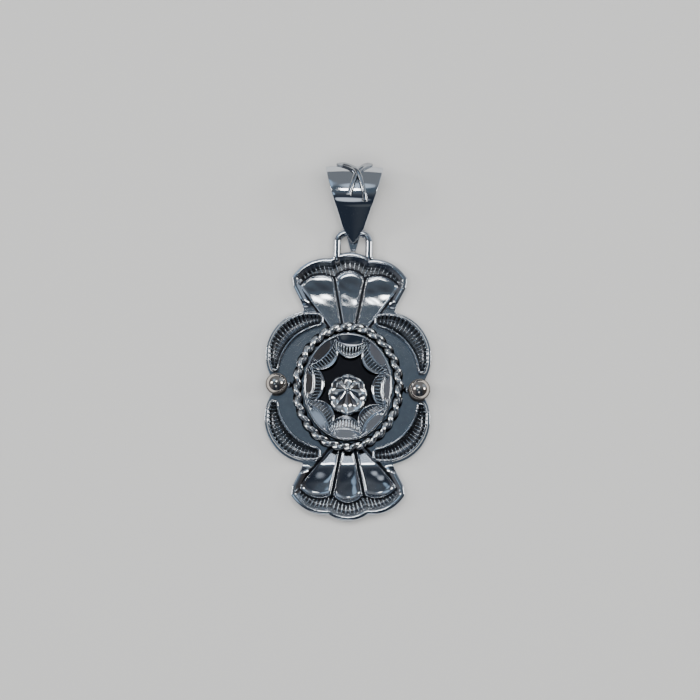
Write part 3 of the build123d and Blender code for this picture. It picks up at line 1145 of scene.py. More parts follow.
    def hollow(self, u: np.ndarray, v: np.ndarray, frames: np.ndarray) -> np.ndarray:
        """Depth of the scoops in the three panels.

        Args:
            u: Points' x on the upright fan.
            v: Points' y on the upright fan.
            frames: Distance inside the nearest panel's edge.

        Returns:
            Depths.
        """
        aside = self.groove / 2 + self.line_width
        climb = (v - self.panel_foot_y) / (self.arch_y - self.panel_foot_y)
        line = self.rib_foot_x + (self.rib_top_x - self.rib_foot_x) * climb
        edge_climb = (v - self.panel_foot_y) / (self.edge_top[1] - self.panel_foot_y)
        edge = self.edge_foot_x + (self.edge_top[0] - self.edge_foot_x) * edge_climb
        across = np.abs(u)
        centre = across < line
        left = np.where(centre, -(line - aside), line + aside)
        right = np.where(centre, line - aside, edge)
        cross = np.clip((2 * across - left - right) / np.maximum(right - left, 0.1), -1, 1)
        cross = np.where(centre, across / np.maximum(line - aside, 0.1), cross)
        crown = self.arch_y + np.where(centre, self.arch_rise, (self.edge_top[1] - self.arch_y) * (cross + 1) / 2)
        crown = crown + np.where(centre, -self.arch_rise * cross**2, self.side_arch_rise * (1 - cross**2))
        arch = 1 - (1 - np.clip((crown - v) / self.arch_reach, 0, 1)) ** 2
        start = self.bowl_start_y
        sunk = np.mean([np.interp(v + shift, *zip(*self.scoop)) for shift in np.linspace(-0.25, 0.25, 7)], axis=0)
        bowl = self.bowl_depth * smooth(start - 0.4, start + 2.0, v) * (1 - cross**2)
        ripple = uneven(u * 0.8, v * 0.8, 0.02, 11) * smooth(0.1, 0.6, frames) * smooth(start - 1.5, start + 0.5, v)
        return ((sunk * smooth(0, 0.14, frames) + bowl) * arch + ripple) * (frames > 0)

    def marks(self, face: Face) -> tuple[list[np.ndarray], list[np.ndarray]]:
        """Guide lines of the short ribs in the band between the arches and the rim.

        Args:
            face: Height of the plate's face, and how brightly it is rubbed.

        Returns:
            The lines and their swells.
        """
        lines, swells = [], []
        share = np.linspace(0, 1, 7)
        taper = 0.8 - 0.25 * share if self.end is End.UPPER else 0.6 + 0.6 * share
        swell = np.sin(math.pi * (0.08 + 0.84 * share)) ** 0.5 * taper
        for row in (self.band_of_centre(), self.band_of_side(), self.band_of_side() * (-1, 1)):
            for inner, outer in row:
                plan = self.placed(inner + (outer - inner) * share[:, None])
                lines.append(np.column_stack([plan, face(*plan.T)[0] + 0.02]))
                swells.append(swell)
        return lines, swells

    def band_of_centre(self) -> np.ndarray:
        """Ends of the marks over the centre arch.

        Returns:
            Inner and outer end of each mark.
        """
        ends = []
        for half, low, high in self.centre_marks:
            foot, crown = self.arch_y + low, (0, self.arch_y + self.arch_rise + high)
            ends.append(arc_points((half, foot), crown, (-half, foot), self.marks_a_lobe))
        return np.stack(ends, axis=1)

    def band_of_side(self) -> np.ndarray:
        """Ends of the marks over the right side arch.

        Returns:
            Inner and outer end of each mark.
        """
        ends = []
        for first, last_x, rise, bulge in self.side_marks:
            last = (last_x, self.arch_y + rise)
            ends.append(arc_points(first, beside_chord(first, last, -bulge), last, self.marks_a_lobe))
        return np.stack(ends, axis=1)


@dataclass(frozen=True)
class BasePlate:
    """Silver sheet with a round-cornered middle and a stamped fan at each end.

    Attributes:
        fans_from: Distance from the middle at which the fans begin.
        face_worn: How brightly the middle's face is rubbed.
        edge_worn: How brightly the edge is rubbed.
        edge_rows: Distances inside the outline at which a row of points follows it.
        rim_rows: The same inside a fan's outline.
        panel_rows: The same inside, or below zero outside, a panel's outline.
        coarse: Distance between points away from the fans.
        lower_scoop: Place along the lower fan, and depth of its panels' scoops there.
    """

    thickness: float = 1.0
    disc_radius: float = 6.5
    disc_x: float = 5.35
    disc_y: float = 4.5
    edge_round: float = 0.1
    fans_from: float = 8.2
    face_worn: float = 0.6
    edge_worn: float = 0.95
    edge_rows: tuple[float, ...] = (0.03, 0.08, 0.14, 0.2, 0.3)
    rim_rows: tuple[float, ...] = (0.4, 0.5, 0.62, 0.76, 0.95, 1.15, 1.35, 1.55)
    panel_rows: tuple[float, ...] = (-0.34, -0.25, -0.18, -0.13, -0.09, -0.045, 0.0, 0.07, 0.16)
    coarse: float = 0.5
    lower_scoop: tuple[tuple[float, float], ...] = ((8.6, 0.5), (11.2, 0.0), (11.4, 0.0), (12.0, 0.05), (16.6, 0.42))
    fans: tuple[Fan, Fan] = (
        Fan(End.UPPER),
        Fan(
            End.LOWER,
            share=0.985,
            turn=1.0,
            rib_top_x=2.3,
            edge_foot_x=2.0,
            groove=0.42,
            scoop=lower_scoop,
            bowl_depth=0.27,
            marks_a_lobe=10,
        ),
    )

    @cache
    def outline(self) -> Points:
        """Outline of the whole plate.

        Returns:
            The outline.
        """
        turn = np.linspace(0, 2 * math.pi, 400, endpoint=False)
        circle = self.disc_radius * np.column_stack([np.cos(turn), np.sin(turn)])
        discs = [circle + (x * self.disc_x, y * self.disc_y) for x in (-1, 1) for y in (-1, 1)]
        x, y = self.disc_x, self.disc_y
        middle = np.array([(-x, -y), (x, -y), (x, y), (-x, y)])
        joined = joined_outline([middle, *discs, *(fan.placed(fan.outline()) for fan in self.fans)])
        return resample(joined, 0.1)

    def levels(self, x: np.ndarray, y: np.ndarray) -> tuple[np.ndarray, np.ndarray]:
        """Height of the plate's face at x, y, and how brightly it is rubbed.

        Args:
            x: Points' x.
            y: Points' y.

        Returns:
            Heights and rubbed shares.
        """
        height, worn = np.zeros(len(x)), np.full(len(x), self.face_worn)
        for fan in self.fans:
            near = y * fan.end.value > self.fans_from
            height[near], worn[near] = fan.relief(x[near], y[near])
        edge = depth_inside(x, y, self.outline(), 1.0)
        height += uneven(x, y, 0.0025, 3) * smooth(0, 0.3, edge) - 0.04 * smooth(self.edge_round, 0, edge)
        return height + self.thickness, np.maximum(worn, self.edge_worn * smooth(0.2, 0.03, edge))

    def build(self) -> list[bpy.types.Object]:
        """Stamp the plate and lay the short ribs in its fans.

        Returns:
            The plate and the ribs.
        """
        contours = [(self.outline(), self.edge_rows)]
        lines, swells = [], []
        for fan in self.fans:
            contours.append((fan.placed(fan.outline()), self.rim_rows))
            contours += [(fan.placed(panel), self.panel_rows) for panel in fan.panels()]
            more_lines, more_swells = fan.marks(self.levels)
            lines += more_lines
            swells += more_swells
        worked = (self.coarse, lambda x, y: np.abs(y) > self.fans_from + 0.6)
        sheet = StampedSheet(self.outline(), self.levels, 0.0, 0.1, contours, worked, self.edge_round)
        return [sheet.build("base_plate", STAMPED), Ribs("fan_ribs", width=0.24).along(lines, swells, BLACKENED)]


# Crescents

@dataclass
class Crescent:
    """One trough-shaped crescent: a raised rim round a hollow crossed by ribs.

    Attributes:
        side: Left or right quarter.
        end: Upper or lower quarter.
        fan_end_x: Where it is cut off towards the fan.
        ball_end_y: Where it is cut off towards the ball.
        profile: Distance inside the outline, and height over the plate there.
        rows: Distances inside the outline at which a row of points follows it.
        trough_worn: How brightly the trough is rubbed.
        rim_worn: How brightly its rim is rubbed.
        ribs: Number of ribs at most.
        rib_ends: About where the outermost ribs lie, x of the lowest and y of the highest.
        rib_margin: Distance of the outermost ribs from the ends.
        rib_reach: From where to where a rib is looked for, from the point that the ribs fan out from.
    """

    side: Side
    end: End
    base: float = 0.9
    plate_top: float = 1.0
    disc_x: float = 5.35
    disc_y: float = 4.5
    radius: float = 6.2
    width: float = 2.95
    inner_radius: float = 7.15
    turn: float = 48.0
    fan_end_x: float = 3.6
    ball_end_y: float = 2.0
    fan_round: float = 0.75
    ball_round: float = 0.5
    profile: tuple[tuple[float, float], ...] = (
        (0.0, 0.86),
        (0.04, 0.98),
        (0.1, 1.05),
        (0.17, 1.085),
        (0.25, 1.1),
        (0.32, 1.06),
        (0.4, 0.94),
        (0.5, 0.78),
        (0.62, 0.64),
        (0.8, 0.5),
        (1.05, 0.4),
        (1.35, 0.36),
    )
    rows: tuple[float, ...] = (0.04, 0.1, 0.17, 0.25, 0.32, 0.4, 0.5, 0.62)
    trough_worn: float = 0.33
    rim_worn: float = 0.97
    ribs: int = 22
    rib_ends: tuple[float, float] = (10.4, 9.5)
    rib_margin: float = 0.35
    rib_reach: tuple[float, float] = (3.5, 9.0)

    def hollow(self) -> tuple[float, float]:
        """Centre of the inner arc.

        Returns:
            Its x and y.
        """
        shift = self.inner_radius - self.radius + self.width
        angle = math.radians(self.turn)
        return self.disc_x - shift * math.cos(angle), self.disc_y - shift * math.sin(angle)

    def outline(self) -> Points:
        """Outline of the upper right crescent, its four corners rounded.

        Returns:
            The outline.
        """
        hx, hy = self.hollow()
        top = self.disc_y + math.sqrt(self.radius**2 - (self.fan_end_x - self.disc_x) ** 2)
        low = hy + math.sqrt(self.inner_radius**2 - (self.fan_end_x - hx) ** 2)
        right = self.disc_x + math.sqrt(self.radius**2 - (self.ball_end_y - self.disc_y) ** 2)
        left = hx + math.sqrt(self.inner_radius**2 - (self.ball_end_y - hy) ** 2)
        outer = self.arc((self.disc_x, self.disc_y), (right, self.ball_end_y), (self.fan_end_x, top))
        inner = self.arc((hx, hy), (left, self.ball_end_y), (self.fan_end_x, low))[::-1]
        sharp = resample(np.vstack([outer, inner]), 0.03)
        return self.rounded(sharp)

    @staticmethod
    def arc(centre: tuple[float, float], start: tuple[float, float], end: tuple[float, float]) -> Points:
        """Points of an anticlockwise arc about a centre.

        Args:
            centre: Centre of the arc.
            start: Its start.
            end: Its end.

        Returns:
            The points.
        """
        radius = math.dist(centre, start)
        first = math.atan2(start[1] - centre[1], start[0] - centre[0])
        last = math.atan2(end[1] - centre[1], end[0] - centre[0])
        angles = np.linspace(first, last, 120)
        return np.column_stack([centre[0] + radius * np.cos(angles), centre[1] + radius * np.sin(angles)])

    def rounded(self, loop: Points) -> Points:
        """Round a loop's corners by sinking it and swelling it again.

        Args:
            loop: The loop with sharp corners.

        Returns:
            The rounded loop.
        """
        low, high = loop.min(0) - 0.1, loop.max(0) + 0.1
        x, y = (a.ravel() for a in np.meshgrid(*(np.arange(low[i], high[i], 0.05) for i in (0, 1))))
        local = np.where(x < self.disc_x, self.fan_round, self.ball_round)
        core = depth_inside(x, y, loop) >= local
        hull, radius = np.column_stack([x, y])[core], local[core]
        kept = []
        for point in loop:
            best = int(np.argmin(np.hypot(*(hull - point).T) - radius))
            away = point - hull[best]
            kept.append(hull[best] + away / np.hypot(*away) * min(np.hypot(*away), radius[best]))
        return resample(np.array(kept), 0.06)

    def placed(self, points: np.ndarray) -> np.ndarray:
        """Mirror points of the upper right crescent into this quarter."""
        return points * np.array([self.side.value, self.end.value, 1])[: points.shape[1]]

    def levels(self, depth: np.ndarray) -> np.ndarray:
        """Height across the crescent, by the distance from its edge."""
        return self.plate_top + np.interp(depth, *zip(*self.profile))

    def build(self) -> list[bpy.types.Object]:
        """Raise the rim, sink the trough and lay the ribs across it.

        Returns:
            The trough and its ribs.
        """
        outline = self.outline()
        placed = self.placed(outline)
        where = f"{self.end.name}_{self.side.name}".lower()

        def face(x: np.ndarray, y: np.ndarray) -> tuple[np.ndarray, np.ndarray]:
            """Height of the trough, and how brightly it is rubbed.

            Args:
                x: Points' x.
                y: Points' y.

            Returns:
                Heights and rubbed shares.
            """
            inside = depth_inside(x, y, placed)
            worn = self.trough_worn + (self.rim_worn - self.trough_worn) * smooth(0.4, 0.28, inside)
            return self.levels(inside) + uneven(x, y, 0.01, 5), worn

        sheet = StampedSheet(placed, face, self.base, 0.1, [(placed, self.rows)], edge_round=0.02)
        lines, swells = self.rib_lines(outline)
        ribs = Ribs(f"crescent_ribs_{where}", width=0.29)
        return [
            sheet.build(f"crescent_{where}", STAMPED),
            ribs.along([self.placed(line) for line in lines], swells, BLACKENED),
        ]

    def rib_lines(self, outline: Points) -> tuple[list[np.ndarray], list[np.ndarray]]:
        """Guide lines of the ribs, square to the middle of the band.

        Args:
            outline: Outline of the upper right crescent.

        Returns:
            The lines and their swells.
        """
        hx, hy = self.hollow()
        focus = np.array([(hx + self.disc_x) / 2, (hy + self.disc_y) / 2])
        first = math.atan2(self.ball_end_y + self.rib_margin - focus[1], self.rib_ends[0] - focus[0])
        last = math.atan2(self.rib_ends[1] - focus[1], self.fan_end_x + self.rib_margin - focus[0])
        reach, share = np.linspace(*self.rib_reach, 260), np.linspace(0, 1, 10)
        lines, swells = [], []
        for angle in np.linspace(first, last, self.ribs):
            ray = focus + np.column_stack([np.cos(angle) * reach, np.sin(angle) * reach])
            across = ray[depth_inside(ray[:, 0], ray[:, 1], outline) > 0.1]
            if len(across) < 6:
                continue
            picked = across[((len(across) - 1) * (0.3 + 0.7 * share)).round().astype(int)]
            level = self.levels(depth_inside(picked[:, 0], picked[:, 1], outline)) + 0.01
            lines.append(np.column_stack([picked, level]))
            swells.append((0.3 + 0.7 * smooth(0, 0.8, share)) * (1 - 0.3 * smooth(0.93, 1, share)))
        return lines, swells


# Medallion

@dataclass
class Medallion:
    """Oval bezel: smooth facets under its rim, ribbed scallops and a star-shaped deep recess.

    Attributes:
        facet_cusp: Share of the oval at which the facets' inner arcs meet.
        facet_middle: Share of the oval at the middle of those arcs.
        star_cusp: Share of the oval at the star's points.
        star_middle: Share of the oval between its points.
        star_lip: Height of the lip round the star.
        ribs: Ribs in a scallop.
        lip_worn: How brightly the lip round the star is rubbed.
        scallop_worn: How brightly the scallops are rubbed between their ribs.
        facet_worn: How brightly the facets are rubbed.
        floor_worn: How brightly the floor of the recess is rubbed.
        points_a_scallop: Points of a ring in one scallop.
    """

    half_x: float = 6.35
    half_y: float = 7.7
    rim: float = 0.3
    top: float = 2.8
    foot: float = 0.9
    floor: float = 1.03
    facet_level: float = 1.86
    star_level: float = 1.78
    turn: float = -2.75
    scallops: int = 8
    facet_cusp: float = 0.97
    facet_middle: float = 0.8
    star_cusp: float = 0.79
    star_middle: float = 0.56
    star_lip: float = 0.14
    ribs: int = 11
    lip_worn: float = 0.95
    scallop_worn: float = 0.33
    facet_worn: float = 0.72
    floor_worn: float = 0.03
    points_a_scallop: int = 44

    @property
    def inner(self) -> tuple[float, float]:
        """Half sizes of the oval inside the rim."""
        return self.half_x - self.rim, self.half_y - self.rim

    def arc(self, index: float, cusp: float, middle: float, count: int) -> Points:
        """Points of one scallop's arc, cusp to cusp.

        Args:
            index: Number of the scallop.
            cusp: Share of the oval at its ends.
            middle: Share of the oval at its middle.
            count: Number of points.

        Returns:
            The points.
        """
        spots = []
        for turn, share in ((index - 0.5, cusp), (index, middle), (index + 0.5, cusp)):
            angle = turn * 2 * math.pi / self.scallops + math.radians(self.turn)
            spots.append((self.inner[0] * share * math.cos(angle), self.inner[1] * share * math.sin(angle)))
        return arc_points(*spots, count)

    def shares(self, angles: np.ndarray, cusp: float, middle: float) -> np.ndarray:
        """How far out a row of arcs lies in each direction of the oval.

        Args:
            angles: The directions.
            cusp: Share of the oval where the arcs meet.
            middle: Share of the oval at their middles.

        Returns:
            Share of the oval in each direction.
        """
        x, y = (np.vstack([self.arc(i, cusp, middle, 60)[:-1] for i in range(self.scallops)]) / self.inner).T
        turn = np.arctan2(y, x)
        order = np.argsort(turn)
        return np.interp(angles, turn[order], np.hypot(x, y)[order], period=2 * math.pi)

    def band_level(self, share: np.ndarray) -> np.ndarray:
        """Height across a scallop, from the star's edge at 0 to the facet's edge at 1.

        Args:
            share: How far across the scallop.

        Returns:
            Heights.
        """
        lip = self.star_level + self.star_lip
        dip = self.star_level - 0.04
        near = lip + (dip - lip) * smooth(0.06, 0.3, share)
        return near + (self.facet_level - dip) * smooth(0.25, 1.0, share)

    def stations(self) -> list[tuple[str, float]]:
        """Names of the stretches between the features, with the share of each stretch.

        Returns:
            The stations, from the middle of the recess outwards and down.
        """
        rows = [("floor", s) for s in (0.0, 0.35, 0.7, 0.92, 1.0)]
        rows += [("wall", s) for s in (0.1, 0.5, 0.85, 0.97)]
        rows += [("band", s) for s in (0.0, 0.07, 0.16, 0.3, 0.45, 0.6, 0.75, 0.9, 0.96)]
        rows += [("facet", s) for s in (0.0, 0.05, 0.1, 0.18, 0.28, 0.4, 0.52, 0.64, 0.76, 0.88, 1.0)]
        rows += [("rim", s) for s in (0.15, 0.35, 0.6, 0.85, 1.0)]
        rows += [("outside", s) for s in (0.06, 0.5, 1.0)]
        return rows

    def build(self) -> list[bpy.types.Object]:
        """Sink the facets, scallops and recess, and lay the ribs.

        Returns:
            The bezel and its ribs.
        """
        angles = np.linspace(-math.pi, math.pi, self.scallops * self.points_a_scallop, endpoint=False)
        angles += math.radians(self.turn)
        facet = self.shares(angles, self.facet_cusp, self.facet_middle)
        star = self.shares(angles, self.star_cusp, self.star_middle)
        rings, worn = [], []
        for name, s in reversed(self.stations()):
            reach_x, reach_y, level, rubbed = self.station(name, s, star, facet)
            rings.append(np.column_stack([reach_x * np.cos(angles), reach_y * np.sin(angles), level]))
            worn.append(rubbed)
        vertices, faces = skin(rings, high=(0, 0, self.floor))
        bezel = piece_from("medallion", vertices, faces, np.concatenate([*worn, [0.05]]), STAMPED)
        return [bezel, Ribs("medallion_ribs", width=0.2).along(*self.rib_lines(), BLACKENED)]

    def station(
        self, name: str, s: float, star: np.ndarray, facet: np.ndarray
    ) -> tuple[np.ndarray, np.ndarray, np.ndarray, np.ndarray]:
        """Where one ring of points lies.

        Args:
            name: Stretch that the ring lies in.
            s: Share of the stretch.
            star: Share of the oval where the star's edge lies, in each direction.
            facet: The same for the facets' inner edge.

        Returns:
            Reach in x and in y, height, and how brightly it is rubbed.
        """
        hx, hy = self.inner
        ones = np.ones(len(star))
        if name == "floor":
            start = 0.3
            share = start + (star * 0.95 - start) * s
            return share * hx, share * hy, self.floor * ones, self.floor_worn * ones
        if name == "wall":
            share = star * (0.95 + 0.05 * s**1.5)
            level = self.floor + (self.band_level(np.zeros(1))[0] - self.floor) * (1 - (1 - s) ** 1.2)
            return share * hx, share * hy, level * ones, (0.05 + 0.5 * s**6) * ones
        if name == "band":
            share = star + (facet - star) * s
            rubbed = self.lip_worn if s < 0.2 else self.scallop_worn if s < 0.93 else 0.6
            return share * hx, share * hy, self.band_level(np.full(1, s))[0] * ones, rubbed * ones
        if name == "facet":
            share = facet + (1 - facet) * s
            lip = 0.09 * (1 - min(1.0, s / 0.1)) - 0.04 * math.sin(math.pi * min(1.0, s / 0.25))
            level = self.facet_level + lip + (self.top - 0.04 - self.facet_level) * s**1.08
            return share * hx, share * hy, level * ones, (1.0 if s < 0.05 else self.facet_worn) * ones
        if name == "rim":
            width = self.rim * s
            rise = 0.04 * math.sin(math.pi / 2 * min(1, s / 0.3))
            level = self.top - 0.04 + rise - 0.2 * max(0, (s - 0.3) / 0.7) ** 2
            return (hx + width) * ones, (hy + width) * ones, level * ones, (1 - 0.5 * max(0, s - 0.5)) * ones
        level = self.top - 0.2 - (self.top - 0.2 - self.foot) * s
        return self.half_x * ones, self.half_y * ones, level * ones, (0.4 - 0.35 * s) * ones

    def rib_lines(self) -> tuple[list[np.ndarray], list[np.ndarray]]:
        """Guide lines of the ribs across each scallop.

        Returns:
            The lines and their swells.
        """
        lines, swells = [], []
        along = np.linspace(0, 1, 8)
        for i in range(self.scallops):
            inner = self.arc(i, self.star_cusp, self.star_middle, self.ribs * 4 + 1)
            outer = self.arc(i, self.facet_cusp, self.facet_middle, self.ribs * 4 + 1)
            for k in range(self.ribs):
                start, end = inner[4 * k + 2], outer[4 * k + 2]
                share = 0.2 + 0.74 * along
                plan = start + (end - start) * share[:, None]
                lines.append(np.column_stack([plan, self.band_level(share) - 0.01]))
                swells.append(np.sin(math.pi * (0.1 + 0.8 * along)) ** 0.6)
        return lines, swells


# Boss

@dataclass
class Boss:
    """Fluted flower in the recess: petals falling from a small eye, and a raised lip round them.

    Attributes:
        eye_shift: How far the eye stands off the flower's middle.
        profile: Share of the way out, and height there.
        notch: How far the edge draws in between petals.
        flute: How deep the furrows between petals are at the edge.
        eye: Radius of the eye.
        eye_rise: How far it rises.
        points_a_petal: Points of a ring in one petal.
    """

    half_x: float = 2.86
    half_y: float = 3.0
    offset_y: float = -1.1
    eye_shift: float = 0.75
    petals: int = 8
    profile: tuple[tuple[float, float], ...] = (
        (0.0, 2.4),
        (0.1, 2.38),
        (0.2, 2.31),
        (0.32, 2.2),
        (0.45, 2.08),
        (0.56, 2.01),
        (0.66, 1.98),
        (0.74, 2.0),
        (0.82, 2.06),
        (0.88, 2.12),
        (0.92, 2.13),
        (0.96, 2.06),
        (0.985, 1.94),
        (1.0, 1.75),
        (1.0, 0.9),
    )
    notch: float = 0.07
    flute: float = 0.56
    eye: float = 0.5
    eye_rise: float = 0.3
    points_a_petal: int = 24

    def build(self) -> list[bpy.types.Object]:
        """Raise the petals and set the eye in their middle.

        Returns:
            The flower and its eye.
        """
        angles = np.linspace(0, 2 * math.pi, self.petals * self.points_a_petal, endpoint=False)
        wave = np.abs(np.sin(self.petals * angles / 2 + math.pi / 2))
        roof = 2 * np.abs((self.petals * angles / (2 * math.pi)) % 1 - 0.5)
        edge = 1 - self.notch * (1 - wave) ** 1.5
        eye_y, eye_level = self.offset_y + self.eye_shift, self.profile[0][1]
        rings, worn = [], []
        for s, crest in self.profile[:0:-1]:
            centre_y = self.offset_y + self.eye_shift * (1 - s) ** 1.3
            fade = smooth(0.08, 0.3, s) * (1 - 0.8 * smooth(0.62, 0.86, s))
            level = crest - self.flute * s * fade * (1 - roof) ** 1.1 * (crest > 1)
            x, y = self.half_x * s * edge * np.cos(angles), centre_y + self.half_y * s * edge * np.sin(angles)
            rings.append(np.column_stack([x, y, level]))
            rubbed = 1 - fade * (1 - smooth(0.05, 0.4, roof)) * 0.8
            worn.append(rubbed * (1.0 if crest > 1.8 else 0.15))
        vertices, faces = skin(rings, high=(0, eye_y, eye_level))
        flower = piece_from("boss", vertices, faces, np.concatenate([*worn, [0.6]]), RUBBED)
        return [flower, dome("boss_eye", (0, eye_y, eye_level - 0.1), self.eye, self.eye_rise, RUBBED)]


# Balls

@dataclass
class Ball:
    """Solid ball on the plate's edge, with a little solder round its foot.

    Attributes:
        side: Left or right edge.
        x: Distance of its middle from the pendant's middle.
        stagger: How far it stands down on the right and up on the left.
        radius: Its radius.
        level: Height of its middle.
        plate_top: Height of the plate's face.
        solder_in: Distance of the solder's middle from the ball's.
        solder_radius: Radius of the solder.
        solder_rise: How far the solder rises.
    """

    side: Side
    x: float = 10.2
    stagger: float = 0.25
    radius: float = 1.55
    level: float = 2.35
    plate_top: float = 1.0
    solder_in: float = 1.75
    solder_radius: float = 0.5
    solder_rise: float = 0.42

    def build(self) -> list[bpy.types.Object]:
        """Round the ball and its solder.

        Returns:
            The ball and the solder at its foot.
        """
        count, across = 48, self.side.value
        turn = np.linspace(0, 2 * math.pi, count, endpoint=False)
        rings = []
        for lean in np.linspace(math.pi, 0, 26)[1:-1]:
            dent = 1 + 0.006 * np.sin(2 * turn + 0.7) * math.sin(lean) + 0.005 * math.cos(3 * lean + across)
            reach = self.radius * dent * math.sin(lean)
            level = np.full(count, self.radius * math.cos(lean))
            rings.append(np.column_stack([reach * np.cos(turn), reach * np.sin(turn), level]))
        vertices, faces = skin(rings, (0, 0, -self.radius), (0, 0, self.radius))
        centre = np.array([self.x * across, -self.stagger * across, self.level])
        # Painted shade with some tarnish: the ball darkens over its lower half, where it would mirror the floor.
        worn = 0.15 + 0.85 * smooth(0.35, 1.2, vertices[:, 2])
        where = self.side.name.lower()
        foot = (centre[0] - across * self.solder_in, centre[1], self.plate_top - 0.05)
        return [
            piece_from(f"ball_{where}", vertices + centre, faces, worn, BEAD),
            dome(f"solder_{where}", foot, self.solder_radius, self.solder_rise, STAMPED),
        ]


# Loop

@dataclass
class BailLoop:
    """Inverted U of round wire, its feet soldered to the top edge of the plate.

    Attributes:
        x: Where its middle lies across the pendant.
        wire: Thickness of the wire.
        leg_x: Distance of a leg from its middle.
        foot_y: Where its feet end.
        crossbar_y: Where the crossbar lies.
        level: Height of the wire's middle.
        corner: Radius of its bends.
        foot_sink: How far its feet go down.
        solder_radius: Radius of the solder at a foot.
        solder_rise: How far the solder rises.
    """

    x: float = 0.4
    wire: float = 1.1
    leg_x: float = 2.3
    foot_y: float = 17.65
    crossbar_y: float = 22.2
    level: float = 1.25
    corner: float = 1.3
    foot_sink: float = 0.45
    solder_radius: float = 0.62
    solder_rise: float = 0.5

    def path(self) -> np.ndarray:
        """Middle line of the wire.

        Returns:
            Its points.
        """
        turn = np.linspace(0, math.pi / 2, 14)
        cx, cy = self.leg_x - self.corner, self.crossbar_y - self.corner
        bend = np.column_stack([cx + self.corner * np.cos(turn), cy + self.corner * np.sin(turn)])
        leg = np.column_stack([np.full(14, self.leg_x), np.linspace(self.foot_y, cy, 14, endpoint=False)])
        bar = np.column_stack([np.linspace(cx, 0, 8)[1:], np.full(7, self.crossbar_y)])
        half = np.vstack([leg, bend, bar])
        plan = np.vstack([half, half[-2::-1] * (-1, 1)])
        level = self.level - self.foot_sink * smooth(1.1, 0.2, plan[:, 1] - self.foot_y)
        return np.column_stack([plan[:, 0] + self.x, plan[:, 1], level])

    def build(self) -> list[bpy.types.Object]:
        """Bend the wire and solder its feet.

        Returns:
            The wire and the solder at its feet.
        """
        path = self.path()
        radii = self.wire / 2 * (0.8 + 0.2 * smooth(0, 0.5, path[:, 1] - self.foot_y))
        radii[[0, -1]] *= 0.6
        vertices, faces = tube(path, radii, 20)
        # Painted shade: the wire darkens below its top, so its sides don't mirror the floor.
        worn = 0.25 + 0.75 * smooth(self.level + 0.1, self.level + 0.42, vertices[:, 2])
        pieces = [piece_from("bail_loop", vertices, faces, worn, MIRROR)]
        for side in Side:
            foot = (self.x + side.value * (self.leg_x + 0.1), self.foot_y + 0.95, 1.2)
            name = f"loop_solder_{side.name}".lower()
            pieces.append(dome(name, foot, self.solder_radius, self.solder_rise, STAMPED))
        return pieces


# Bail

